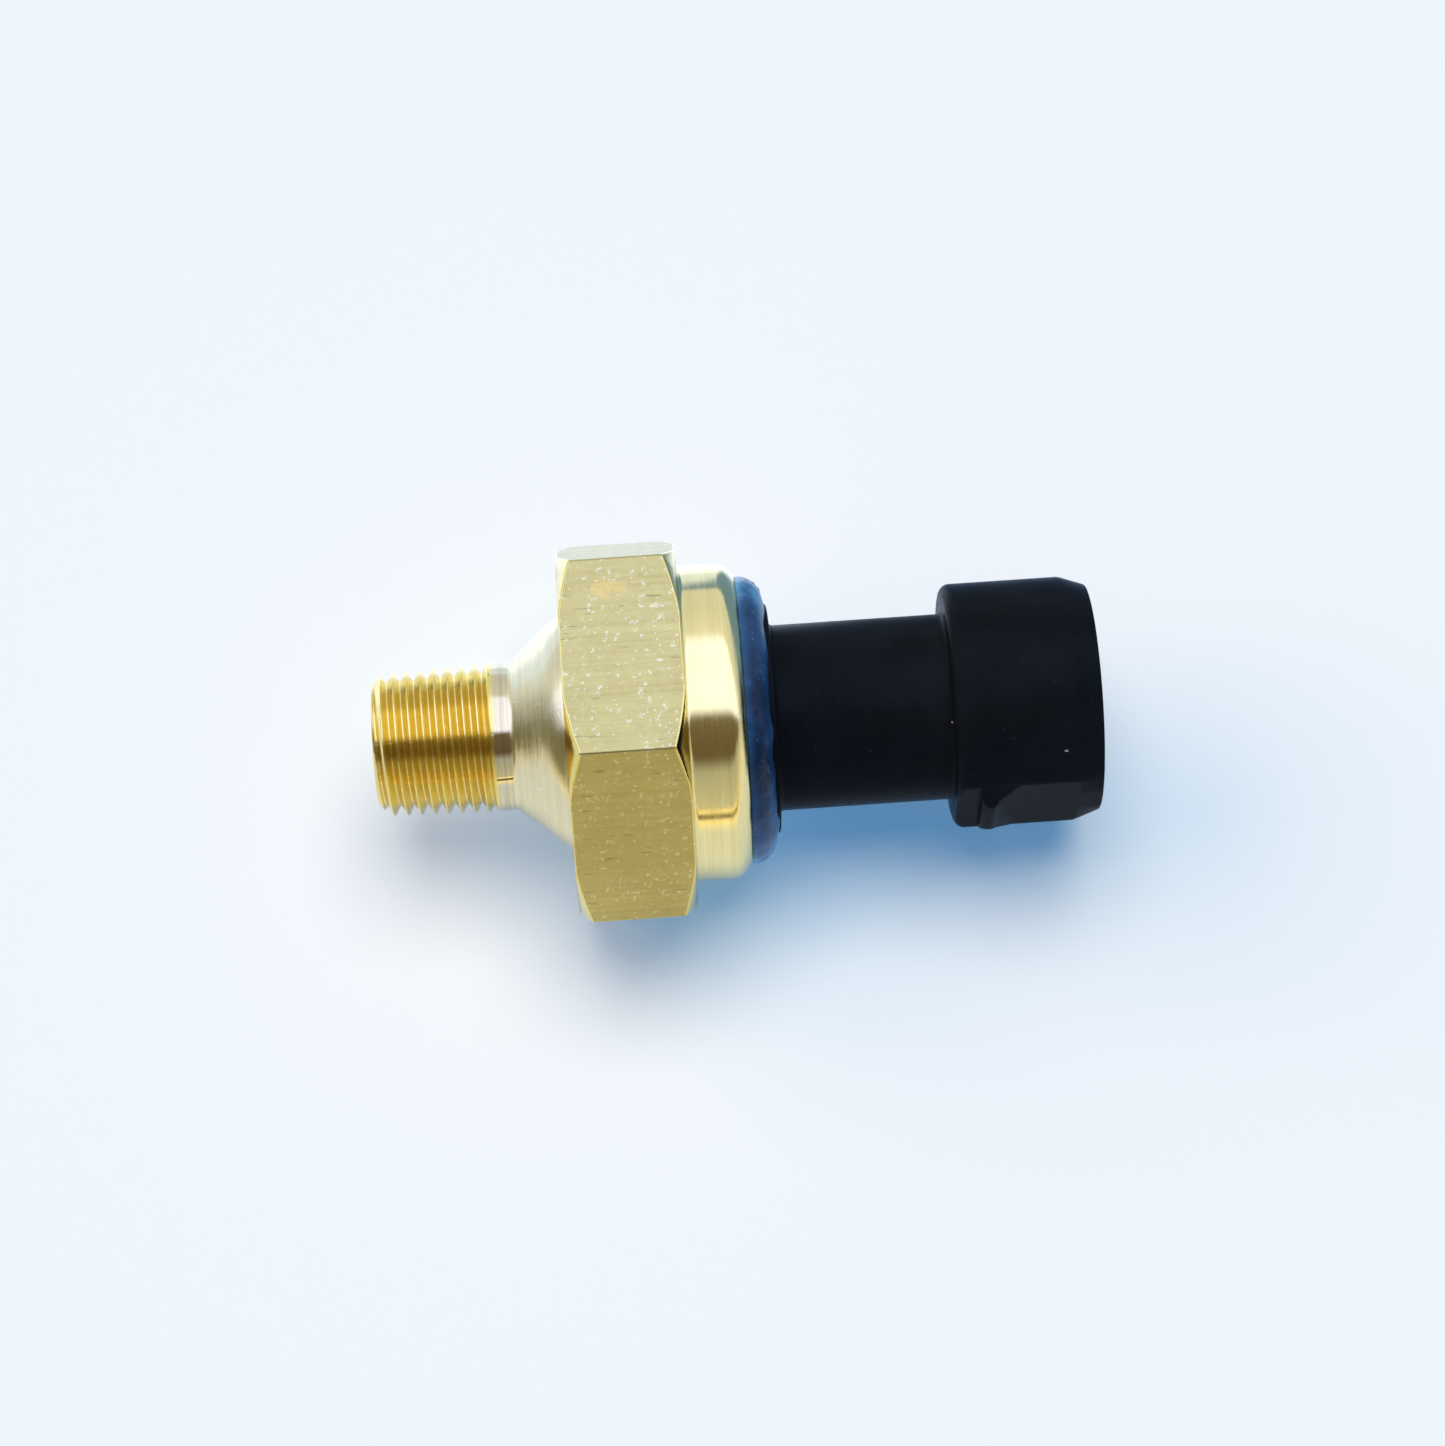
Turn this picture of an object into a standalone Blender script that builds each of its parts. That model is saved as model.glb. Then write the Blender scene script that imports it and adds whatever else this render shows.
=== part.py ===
"""A pressure switch with a brass body, a tapered port thread, a hexagon and a crimped-in black connector.

Blender 4.5, metres, +Z up. The switch lies on one flat of its hexagon, with its axis along X: the port is at
the low end and the connector at the high end, and the connector's lock wedge faces -Y. The origin is the
middle of the hexagon flat that it lies on. A station is a distance along the axis from the port's end face.

Pressure at the port bows the diaphragm, which lifts the piston against the set spring. The push pin on the
piston then swings the contact arm from the normally closed contact to the normally open one.
"""

import math

import bmesh
import bpy
from mathutils import Matrix

# Body: port thread (a 1/8-27 taper pipe thread), shank, cone, hexagon and crimped collar.
THREAD_LENGTH = 0.0084
THREAD_PITCH = 0.0254 / 27
THREAD_START_RADIUS = 0.00497
THREAD_TAPER = 1 / 32
THREAD_DEPTH = 0.00062
THREAD_FLANK = math.radians(30)
THREAD_ROOT_WIDTH = 0.0001
TIP_CHAMFER = 0.00069
SHANK_LENGTH = 0.0012
SHANK_RADIUS = 0.00516
CONE_LENGTH = 0.00375
CONE_END_RADIUS = 0.0083
HEX_ACROSS_FLATS = 0.0248
HEX_LENGTH = 0.0082
HEX_CHAMFER = 0.0016
HEX_CHAMFER_ANGLE = math.radians(30)
COLLAR_RADIUS = 0.011
COLLAR_LENGTH = 0.0041
COLLAR_ROLL = 0.0014
LIP_INSET = 0.00055
LIP_THICKNESS = 0.0012
PORT_BORE_RADIUS = 0.0019

# Pressure cell: what lies between the port and the contacts.
CELL_RADIUS = 0.0089
CELL_FLOOR_DEPTH = 0.00155
POCKET_RADIUS = 0.0045
POCKET_DEPTH = 0.0016
O_RING_RADIUS = 0.0066
O_RING_THICKNESS = 0.001
SNUBBER_INSET = 0.0016
SNUBBER_LENGTH = 0.003
SNUBBER_HOLE_RADIUS = 0.0004
DIAPHRAGM_THICKNESS = 0.00025
GUIDE_BORE_RADIUS = 0.0046
PISTON_HEAD_LENGTH = 0.0011
STEM_RADIUS = 0.0014
NUT_LENGTH = 0.0015
SPANNER_HOLE_RADIUS = 0.0005
SPRING_WIRE_RADIUS = 0.00026
SPRING_RADIUS = 0.003
SPRING_TURNS = 3
BASE_THICKNESS = 0.0017

# Contacts.
PIN_RADIUS = 0.0009
PIN_SOCKET_DEPTH = 0.0009
STROKE = 0.00035
ARM_HEIGHT = 0.00185
ARM_THICKNESS = 0.0003
ARM_WIDTH = 0.0022
ARM_TAIL = 0.001
ARM_NOSE = 0.0007
CONTACT_OFFSET = 0.0036
CONTACT_RADIUS = 0.0008
CONTACT_HEIGHT = 0.0005
RIVET_RADIUS = 0.00045
RIVET_HEAD = 0.00035
FOOT_THICKNESS = 0.0004
BLADE_CIRCLE = 0.0029
BLADE_WIDTH = 0.0015
BLADE_THICKNESS = 0.0008
BLADE_INSET = 0.0024
BLADE_CHAMFER = 0.0002

# Connector. The lip reaches in over the flange, and the boss stands inside the lip with room for the bead.
SEAL_THICKNESS = 0.0003
SEAL_WIDTH = 0.0023
FLANGE_RADIUS = 0.0095
FLANGE_THICKNESS = 0.0006
WASHER_THICKNESS = 0.00035
BOSS_INSET = 0.00095
BOSS_STAND_OUT = 0.002
BOSS_EDGE = 0.0003
NECK_RADIUS = 0.00646
NECK_LENGTH = 0.0121
NECK_FILLET = 0.0004
CHAMBER_RADIUS = 0.0053
HEAD_RADIUS = 0.0085
HEAD_LENGTH = 0.0101
HEAD_SHOULDER = 0.0007
RIM_RADIUS = 0.00785
RIM_TAPER_LENGTH = 0.0018
SOCKET_RADIUS = 0.0069
SOCKET_DEPTH = 0.0094
WEB_THICKNESS = 0.004
POTTING_THICKNESS = 0.0019
LOCK_FLAT = 0.00776
LOCK_WIDTH = 0.0038
LOCK_BASE_WIDTH = 0.0068
LOCK_START = 0.0016
LOCK_PEAK_LENGTH = 0.0013
LOCK_RAMP_LENGTH = 0.0014
LOCK_HEIGHT = 0.00094
RIB_WIDTH = 0.0012
RIB_HEIGHT = 0.0007
RIB_INSET = 0.0015

# Sealant bead, laid between the crimped lip and the connector's boss.
BEAD_HEIGHT = 0.0017
BEAD_SPREAD = 0.0008

# Clearances.
GAP = 0.0001
SLIDE_GAP = 0.0002
SEAT_GAP = 0.0003
BLADE_GAP = 0.0001
RUNNING_GAP = 0.00005
CUT_OVERRUN = 0.00008

# Facets round a full turn.
LARGE_FACETS = 36
SMALL_FACETS = 18
THREAD_FACETS = 24
RIVET_FACETS = 12
SPANNER_FACETS = 8
SECTION_FACETS = 12
ARC_FACETS = 5

# Stations along the axis, from the port's end face.
SHANK_START = THREAD_LENGTH
CONE_START = SHANK_START + SHANK_LENGTH
HEX_START = CONE_START + CONE_LENGTH
HEX_END = HEX_START + HEX_LENGTH
COLLAR_END = HEX_END + COLLAR_LENGTH
LIP_UNDERSIDE = COLLAR_END - LIP_THICKNESS
WASHER_START = LIP_UNDERSIDE - GAP / 2 - WASHER_THICKNESS
FLANGE_START = WASHER_START - GAP / 2 - FLANGE_THICKNESS
SEAL_START = FLANGE_START - GAP - SEAL_THICKNESS
FLANGE_SHOULDER = SEAL_START - GAP
BASE_END = FLANGE_SHOULDER - GAP
BASE_START = BASE_END - BASE_THICKNESS
CELL_FLOOR = HEX_START + CELL_FLOOR_DEPTH
DIAPHRAGM_START = CELL_FLOOR + GAP
CUP_START = DIAPHRAGM_START + DIAPHRAGM_THICKNESS + GAP
CUP_END = BASE_START - GAP
NUT_START = CUP_END - GAP - NUT_LENGTH
PISTON_HEAD_END = CUP_START + PISTON_HEAD_LENGTH
STEM_END = BASE_START - STROKE - SLIDE_GAP
ARM_START = BASE_END + ARM_HEIGHT
ARM_END = ARM_START + ARM_THICKNESS
BOSS_END = COLLAR_END + BOSS_STAND_OUT
NECK_END = BOSS_END + NECK_LENGTH
HEAD_END = NECK_END + HEAD_LENGTH
SOCKET_FLOOR = HEAD_END - SOCKET_DEPTH
WEB_START = SOCKET_FLOOR - WEB_THICKNESS
BLADE_END = HEAD_END - BLADE_INSET

# Places that follow from the sizes above.
AXIS_HEIGHT = HEX_ACROSS_FLATS / 2
HEX_MIDDLE = (HEX_START + HEX_END) / 2
SEAT_RADIUS = CELL_RADIUS - SEAT_GAP
COUNTERBORE_RADIUS = FLANGE_RADIUS + GAP
LIP_RADIUS = FLANGE_RADIUS - LIP_INSET
BOSS_RADIUS = LIP_RADIUS - BOSS_INSET
RIVET_BOTTOM = ARM_START - RUNNING_GAP - RIVET_HEAD
RIVET_TOP = ARM_END + RUNNING_GAP + RIVET_HEAD
CONTACT_TRAVEL = STROKE * (BLADE_CIRCLE + CONTACT_OFFSET + CONTACT_RADIUS) / BLADE_CIRCLE
OPEN_CONTACT_FACE = RIVET_TOP + CONTACT_TRAVEL + GAP
CLOSED_CONTACT_FACE = RIVET_BOTTOM - GAP
OPEN_FOOT_START = OPEN_CONTACT_FACE + CONTACT_HEIGHT + RUNNING_GAP
CLOSED_FOOT_START = CLOSED_CONTACT_FACE - CONTACT_HEIGHT - RUNNING_GAP - FOOT_THICKNESS
COMMON_LEG_START = ARM_END + SLIDE_GAP

PARTS = "pressure_switch"
CUTTERS = "cutters"


def clear_scene():
    """Removes everything that the file opens with."""
    for old in list(bpy.data.objects):
        bpy.data.objects.remove(old)
    for name in (PARTS, CUTTERS):
        collection = bpy.data.collections.new(name)
        bpy.context.scene.collection.children.link(collection)


def finish(name, colour, roughness, metallic=0.0):
    """A plain Principled material, made once for each name."""
    material = bpy.data.materials.get(name)
    if material:
        return material
    material = bpy.data.materials.new(name)
    material.use_nodes = True
    shader = material.node_tree.nodes["Principled BSDF"]
    shader.inputs["Base Color"].default_value = (*colour, 1.0)
    shader.inputs["Roughness"].default_value = roughness
    shader.inputs["Metallic"].default_value = metallic
    material.diffuse_color = (*colour, 1.0)
    return material


def body_brass():
    """Bare brass."""
    return finish("body_brass", (0.72, 0.53, 0.22), 0.28, 1.0)


def terminal_tin():
    """Tin plate on the terminals."""
    return finish("terminal_tin", (0.72, 0.71, 0.68), 0.25, 1.0)


def contact_silver():
    """Silver contact metal."""
    return finish("contact_silver", (0.88, 0.87, 0.84), 0.22, 1.0)


def spring_steel():
    """Bright steel."""
    return finish("spring_steel", (0.55, 0.55, 0.56), 0.32, 1.0)


def arm_bronze():
    """Springy bronze strip."""
    return finish("arm_bronze", (0.7, 0.42, 0.26), 0.3, 1.0)


def black_nylon():
    """Black glass-filled nylon."""
    return finish("black_nylon", (0.012, 0.013, 0.016), 0.38)


def brown_phenolic():
    """Brown insulating board."""
    return finish("brown_phenolic", (0.16, 0.07, 0.035), 0.5)


def amber_film():
    """Amber polyimide film."""
    return finish("amber_film", (0.75, 0.38, 0.06), 0.3)


def seal_rubber():
    """Black sealing rubber."""
    return finish("seal_rubber", (0.02, 0.02, 0.02), 0.65)


def blue_sealant():
    """Blue sealant."""
    return finish("blue_sealant", (0.05, 0.13, 0.24), 0.35)


def grey_potting():
    """Grey potting resin."""
    return finish("grey_potting", (0.09, 0.1, 0.11), 0.45)


def place(name, mesh, material=None):
    """Puts a mesh in the scene: a part where it has a material, and a hidden cutter where it has none."""
    obj = bpy.data.objects.new(name, mesh)
    if material:
        bpy.data.collections[PARTS].objects.link(obj)
        mesh.materials.append(material)
        return obj
    bpy.data.collections[CUTTERS].objects.link(obj)
    obj.hide_render = True
    obj.display_type = "WIRE"
    return obj


def along(station):
    """The X place of a station."""
    return station - HEX_MIDDLE


def set_origin(obj, station, y=0.0):
    """Moves an object's origin to a station on the axis, or beside it, and leaves its shape where it is."""
    origin = Matrix.Translation((along(station), y, AXIS_HEIGHT))
    obj.data.transform(origin.inverted() @ obj.matrix_basis)
    obj.matrix_basis = origin


def from_bmesh(name, shape, material):
    """Closes a bmesh into an object, with its faces out."""
    bmesh.ops.recalc_face_normals(shape, faces=shape.faces)
    mesh = bpy.data.meshes.new(name)
    shape.to_mesh(mesh)
    shape.free()
    return place(name, mesh, material)


def turned(name, outline, material=None, facets=LARGE_FACETS):
    """A solid turned about the axis. The outline is (station, radius) points, down the outer side first."""
    mesh = bpy.data.meshes.new(name)
    points = [(along(station), radius, 0.0) for station, radius in outline]
    edges = [(i, i + 1) for i in range(len(points) - 1)]
    if min(radius for _, radius in outline) > 0:
        edges.append((len(points) - 1, 0))
    mesh.from_pydata(points, edges, [])
    obj = place(name, mesh, material)
    obj.location.z = AXIS_HEIGHT
    turn = obj.modifiers.new("turn", "SCREW")
    turn.axis = "X"
    turn.steps = facets
    turn.render_steps = facets
    turn.use_merge_vertices = True
    turn.merge_threshold = 0.000001
    return obj


def ring(name, start, end, bore, radius, material=None, facets=LARGE_FACETS):
    """A plain turned ring, or a disc where its bore is nothing."""
    return turned(name, [(end, bore), (end, radius), (start, radius), (start, bore)], material, facets)


def box(name, start, end, y, z, width_y, width_z, material=None):
    """A block along the axis, centred on y and on z above the axis."""
    shape = bmesh.new()
    middle = Matrix.Translation((along((start + end) / 2), y, AXIS_HEIGHT + z))
    size = Matrix.Diagonal((end - start, width_y, width_z, 1))
    bmesh.ops.create_cube(shape, size=1.0, matrix=middle @ size)
    return from_bmesh(name, shape, material)


def cylinder(name, start, end, y, z, radius, material=None, facets=SMALL_FACETS):
    """A round bar parallel to the axis."""
    shape = bmesh.new()
    middle = Matrix.Translation((along((start + end) / 2), y, AXIS_HEIGHT + z))
    bmesh.ops.create_cone(
        shape, cap_ends=True, segments=facets, radius1=radius, radius2=radius, depth=end - start,
        matrix=middle @ Matrix.Rotation(math.pi / 2, 4, "Y"),
    )
    return from_bmesh(name, shape, material)


def extruded(name, outline, offset, material=None):
    """A flat outline drawn out along an offset into a solid."""
    shape = bmesh.new()
    face = shape.faces.new([shape.verts.new(point) for point in outline])
    drawn = bmesh.ops.extrude_face_region(shape, geom=[face])
    moved = [item for item in drawn["geom"] if isinstance(item, bmesh.types.BMVert)]
    bmesh.ops.translate(shape, verts=moved, vec=offset)
    return from_bmesh(name, shape, material)


def combine(obj, operation, other):
    """Adds a Boolean by another object, which is then a hidden cutter."""
    step = obj.modifiers.new(other.name, "BOOLEAN")
    step.operation = operation
    step.object = other
    return obj


def arc(middle_station, middle_radius, size, start_degrees, end_degrees, steps):
    """Points on a rounded edge. 0 degrees points along the axis to the connector, and 90 outward."""
    step = (end_degrees - start_degrees) / steps
    turn = [math.radians(start_degrees + step * i) for i in range(steps + 1)]
    return [(middle_station + size * math.cos(t), middle_radius + size * math.sin(t)) for t in turn]


def baked(obj):
    """The object with its modifiers turned into a plain mesh."""
    graph = bpy.context.evaluated_depsgraph_get()
    mesh = bpy.data.meshes.new_from_object(obj.evaluated_get(graph))
    obj.modifiers.clear()
    obj.data = mesh
    return obj


def thread_cutter():
    """The V of a right-hand thread as one helix that follows the taper. It starts ahead of the end face."""
    root = THREAD_START_RADIUS - THREAD_DEPTH
    height = THREAD_DEPTH + CUT_OVERRUN
    root_half = THREAD_ROOT_WIDTH / 2
    top_half = root_half + height * math.tan(THREAD_FLANK)
    outline = [(top_half, height), (root_half, 0), (-root_half, 0), (-top_half, height)]
    start = along(-THREAD_PITCH)
    mesh = bpy.data.meshes.new("thread_cutter")
    points = [(start + x, root + r, 0.0) for x, r in outline]
    mesh.from_pydata(points, [(0, 1), (1, 2), (2, 3), (3, 0)], [])
    cutter = place("thread_cutter", mesh)
    turn = cutter.modifiers.new("helix", "SCREW")
    turn.axis = "X"
    turn.screw_offset = THREAD_PITCH
    turn.iterations = round(THREAD_LENGTH / THREAD_PITCH) + 1
    turn.steps = THREAD_FACETS
    turn.render_steps = THREAD_FACETS
    turn.use_merge_vertices = False
    baked(cutter)
    shape = bmesh.new()
    shape.from_mesh(cutter.data)
    for corner in shape.verts:
        radius = math.hypot(corner.co.y, corner.co.z)
        wider = 1 + (corner.co.x + HEX_MIDDLE) * THREAD_TAPER / radius
        corner.co.y *= wider
        corner.co.z *= wider
    bmesh.ops.holes_fill(shape, edges=shape.edges)
    bmesh.ops.recalc_face_normals(shape, faces=shape.faces)
    shape.to_mesh(cutter.data)
    shape.free()
    cutter.location.z = AXIS_HEIGHT
    return cutter


def hexagon_bar():
    """A bar of the hexagon's section, longer than the body, with a flat at the top and one at the bottom."""
    corner = HEX_ACROSS_FLATS / math.sqrt(3)
    return cylinder("hexagon_bar", -HEX_LENGTH, COLLAR_END + HEX_LENGTH, 0, 0, corner, facets=6)


def switch_body():
    """The brass body, turned from hexagon bar, with its collar crimped over the connector's flange."""
    corner = HEX_ACROSS_FLATS / math.sqrt(3)
    barrel = corner / math.cos(math.pi / LARGE_FACETS) + CUT_OVERRUN
    face_edge = corner - HEX_CHAMFER
    chamfer_length = (barrel - face_edge) * math.tan(HEX_CHAMFER_ANGLE)
    gland = O_RING_THICKNESS + GAP
    ends = (THREAD_LENGTH - GAP, TIP_CHAMFER)
    crest = [(at, THREAD_START_RADIUS + at * THREAD_TAPER) for at in ends]
    outline = [
        (COLLAR_END, LIP_RADIUS),
        *arc(COLLAR_END - COLLAR_ROLL, COLLAR_RADIUS - COLLAR_ROLL, COLLAR_ROLL, 0, 90, ARC_FACETS),
        (HEX_END, COLLAR_RADIUS),
        (HEX_END, face_edge),
        (HEX_END - chamfer_length, barrel),
        (HEX_START + chamfer_length, barrel),
        (HEX_START, face_edge),
        (HEX_START, CONE_END_RADIUS),
        (CONE_START, SHANK_RADIUS),
        (SHANK_START, SHANK_RADIUS),
        *crest,
        (0, crest[-1][1] - TIP_CHAMFER),
        (0, PORT_BORE_RADIUS),
        (CELL_FLOOR - POCKET_DEPTH, PORT_BORE_RADIUS),
        (CELL_FLOOR - POCKET_DEPTH, POCKET_RADIUS),
        (CELL_FLOOR, POCKET_RADIUS),
        (CELL_FLOOR, O_RING_RADIUS - gland),
        (CELL_FLOOR - gland, O_RING_RADIUS - gland),
        (CELL_FLOOR - gland, O_RING_RADIUS + gland),
        (CELL_FLOOR, O_RING_RADIUS + gland),
        (CELL_FLOOR, CELL_RADIUS),
        (FLANGE_SHOULDER, CELL_RADIUS),
        (FLANGE_SHOULDER, COUNTERBORE_RADIUS),
        (LIP_UNDERSIDE, COUNTERBORE_RADIUS),
        (LIP_UNDERSIDE, LIP_RADIUS),
    ]
    body = turned("switch_body", outline, body_brass())
    combine(body, "INTERSECT", hexagon_bar())
    combine(body, "DIFFERENCE", thread_cutter())


def port_snubber():
    """The plug with a small hole that keeps pressure spikes from the diaphragm."""
    radius = PORT_BORE_RADIUS - GAP
    end = SNUBBER_INSET + SNUBBER_LENGTH
    ring("port_snubber", SNUBBER_INSET, end, SNUBBER_HOLE_RADIUS, radius, body_brass(), SMALL_FACETS)


def diaphragm_o_ring():
    """The ring in the cell's floor that seals the diaphragm."""
    half = O_RING_THICKNESS / 2
    last = 360 - 360 / SECTION_FACETS
    section = arc(CELL_FLOOR - half - GAP / 2, O_RING_RADIUS, half, 0, last, SECTION_FACETS - 1)
    turned("diaphragm_o_ring", section, seal_rubber())


def diaphragm():
    """The film that bows towards the piston under pressure."""
    end = DIAPHRAGM_START + DIAPHRAGM_THICKNESS
    ring("diaphragm", DIAPHRAGM_START, end, 0, SEAT_RADIUS, amber_film())


def spring_cup():
    """The ring that clamps the diaphragm, guides the piston and holds the set nut."""
    ring("spring_cup", CUP_START, CUP_END, GUIDE_BORE_RADIUS, SEAT_RADIUS, body_brass())


def pressure_piston():
    """The disc that the diaphragm lifts, with a stem that holds the push pin."""
    socket = PIN_RADIUS + GAP
    head = GUIDE_BORE_RADIUS - SLIDE_GAP
    outline = [
        (STEM_END - PIN_SOCKET_DEPTH, 0),
        (STEM_END - PIN_SOCKET_DEPTH, socket),
        (STEM_END, socket),
        (STEM_END, STEM_RADIUS),
        (PISTON_HEAD_END, STEM_RADIUS),
        (PISTON_HEAD_END, head),
        (CUP_START, head),
        (CUP_START, 0),
    ]
    piston = turned("pressure_piston", outline, spring_steel(), SMALL_FACETS)
    set_origin(baked(piston), CUP_START)


def push_pin():
    """The insulating pin between the piston and the contact arm."""
    start = STEM_END - PIN_SOCKET_DEPTH + GAP
    pin = cylinder("push_pin", start, ARM_START - GAP, 0, 0, PIN_RADIUS, brown_phenolic())
    set_origin(pin, CUP_START)


def set_spring():
    """The coil spring that the pressure has to overcome."""
    start = PISTON_HEAD_END + GAP + SPRING_WIRE_RADIUS
    end = NUT_START - GAP - SPRING_WIRE_RADIUS
    steps = SPRING_TURNS * SMALL_FACETS // 2
    curve = bpy.data.curves.new("set_spring", "CURVE")
    curve.dimensions = "3D"
    curve.bevel_depth = SPRING_WIRE_RADIUS
    curve.bevel_resolution = 2
    curve.use_fill_caps = True
    curve.materials.append(spring_steel())
    coil = curve.splines.new("POLY")
    coil.points.add(steps)
    for i, point in enumerate(coil.points):
        turn = math.tau * SPRING_TURNS * i / steps
        x = along(start + (end - start) * i / steps)
        point.co = (x, SPRING_RADIUS * math.cos(turn), AXIS_HEIGHT + SPRING_RADIUS * math.sin(turn), 1)
    obj = bpy.data.objects.new("set_spring", curve)
    bpy.data.collections[PARTS].objects.link(obj)


def set_nut():
    """The nut that presses on the spring, with two holes for a pin spanner."""
    hole = STEM_RADIUS + SLIDE_GAP
    outer = GUIDE_BORE_RADIUS - GAP
    nut = ring("set_nut", NUT_START, NUT_START + NUT_LENGTH, hole, outer, body_brass(), SMALL_FACETS)
    for side in (-1, 1):
        z = side * (hole + outer) / 2
        radius = SPANNER_HOLE_RADIUS
        drill = cylinder("spanner_hole", NUT_START - GAP, CUP_END, 0, z, radius, facets=SPANNER_FACETS)
        combine(nut, "DIFFERENCE", drill)


def contact_base():
    """The insulating disc under the contacts, which guides the push pin."""
    hole = PIN_RADIUS + SLIDE_GAP
    ring("contact_base", BASE_START, BASE_END, hole, SEAT_RADIUS, brown_phenolic())


def contact_arm():
    """The arm that swings about the common terminal's foot, with a hole for its contact rivet."""
    low = -CONTACT_OFFSET - ARM_NOSE
    high = BLADE_CIRCLE + ARM_TAIL
    arm = box("contact_arm", ARM_START, ARM_END, (low + high) / 2, 0, high - low, ARM_WIDTH, arm_bronze())
    radius = RIVET_RADIUS + RUNNING_GAP
    start = ARM_START - GAP
    hole = cylinder("rivet_hole", start, ARM_END + GAP, -CONTACT_OFFSET, 0, radius, facets=RIVET_FACETS)
    combine(arm, "DIFFERENCE", hole)
    set_origin(arm, (ARM_START + ARM_END) / 2, BLADE_CIRCLE)


def moving_contact():
    """The silver rivet through the arm, with a contact face on each side."""
    shank_start = ARM_START - RUNNING_GAP
    shank_end = ARM_END + RUNNING_GAP
    outline = [
        (RIVET_TOP, 0),
        (RIVET_TOP, CONTACT_RADIUS),
        (shank_end, CONTACT_RADIUS),
        (shank_end, RIVET_RADIUS),
        (shank_start, RIVET_RADIUS),
        (shank_start, CONTACT_RADIUS),
        (RIVET_BOTTOM, CONTACT_RADIUS),
        (RIVET_BOTTOM, 0),
    ]
    rivet = turned("moving_contact", outline, contact_silver(), RIVET_FACETS)
    rivet.location.y = -CONTACT_OFFSET
    set_origin(baked(rivet), (ARM_START + ARM_END) / 2, BLADE_CIRCLE)


def fixed_contacts():
    """The silver button on each fixed foot, facing the arm's rivet."""
    faces = {
        "normally_closed_contact": (CLOSED_CONTACT_FACE - CONTACT_HEIGHT, CLOSED_CONTACT_FACE),
        "normally_open_contact": (OPEN_CONTACT_FACE, OPEN_CONTACT_FACE + CONTACT_HEIGHT),
    }
    for name, (start, end) in faces.items():
        cylinder(name, start, end, -CONTACT_OFFSET, 0, CONTACT_RADIUS, contact_silver(), RIVET_FACETS)


def blade_places():
    """Each terminal's place round the axis and the station where its leg starts."""
    side = BLADE_CIRCLE * math.sin(math.radians(60))
    back = -BLADE_CIRCLE / 2
    return {
        "common_terminal": (BLADE_CIRCLE, 0.0, COMMON_LEG_START),
        "normally_closed_terminal": (back, -side, CLOSED_FOOT_START),
        "normally_open_terminal": (back, side, OPEN_FOOT_START),
    }


def terminals():
    """The three blades. The two fixed ones have a foot that reaches under or over the arm's rivet."""
    for name, (y, z, start) in blade_places().items():
        blade = box(name, start, BLADE_END, y, z, BLADE_THICKNESS, BLADE_WIDTH, terminal_tin())
        bevel_point(blade)
        if z == 0:
            continue
        side = math.copysign(1, z)
        reach = CONTACT_RADIUS + GAP
        inner = y + BLADE_THICKNESS / 2
        outer = -CONTACT_OFFSET - CONTACT_RADIUS
        outline = [
            (inner, z + side * BLADE_WIDTH / 2),
            (inner, z - side * BLADE_WIDTH / 2),
            (-CONTACT_OFFSET + CONTACT_RADIUS, -side * reach),
            (outer, -side * reach),
            (outer, side * reach),
            (inner - BLADE_WIDTH, z + side * BLADE_WIDTH / 2),
        ]
        points = [(along(start), foot_y, AXIS_HEIGHT + foot_z) for foot_y, foot_z in outline]
        foot = extruded(name + "_foot", points, (FOOT_THICKNESS, 0, 0))
        combine(blade, "UNION", foot)


def bevel_point(blade):
    """Chamfers the free end of a blade, so that it finds the socket of the plug."""
    shape = bmesh.new()
    shape.from_mesh(blade.data)
    tip = max(corner.co.x for corner in shape.verts)
    edges = [edge for edge in shape.edges if min(corner.co.x for corner in edge.verts) > tip - GAP]
    bmesh.ops.bevel(shape, geom=edges, offset=BLADE_CHAMFER, segments=1, affect="EDGES")
    shape.to_mesh(blade.data)
    shape.free()


def cut_blade_slots(obj, start, end):
    """Cuts the three slots that the blades pass through."""
    for name, (y, z, _) in blade_places().items():
        thick = BLADE_THICKNESS + 2 * BLADE_GAP
        wide = BLADE_WIDTH + 2 * BLADE_GAP
        slot = box(obj.name + "_slot_" + name, start - SLIDE_GAP, end + SLIDE_GAP, y, z, thick, wide)
        combine(obj, "DIFFERENCE", slot)


def terminal_potting():
    """The resin that seals the blades where they enter the web."""
    start = WEB_START - GAP - POTTING_THICKNESS
    end = WEB_START - GAP
    potting = ring("terminal_potting", start, end, 0, CHAMBER_RADIUS - GAP, grey_potting(), SMALL_FACETS)
    cut_blade_slots(potting, start, end)


def flange_seal():
    """The flat ring that seals the connector's flange to the body."""
    inner = FLANGE_RADIUS - SEAL_WIDTH
    ring("flange_seal", SEAL_START, SEAL_START + SEAL_THICKNESS, inner, FLANGE_RADIUS, seal_rubber())


def crimp_washer():
    """The steel ring that spreads the crimp's load over the flange."""
    inner = BOSS_RADIUS + GAP
    ring("crimp_washer", WASHER_START, WASHER_START + WASHER_THICKNESS, inner, FLANGE_RADIUS, spring_steel())


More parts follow.
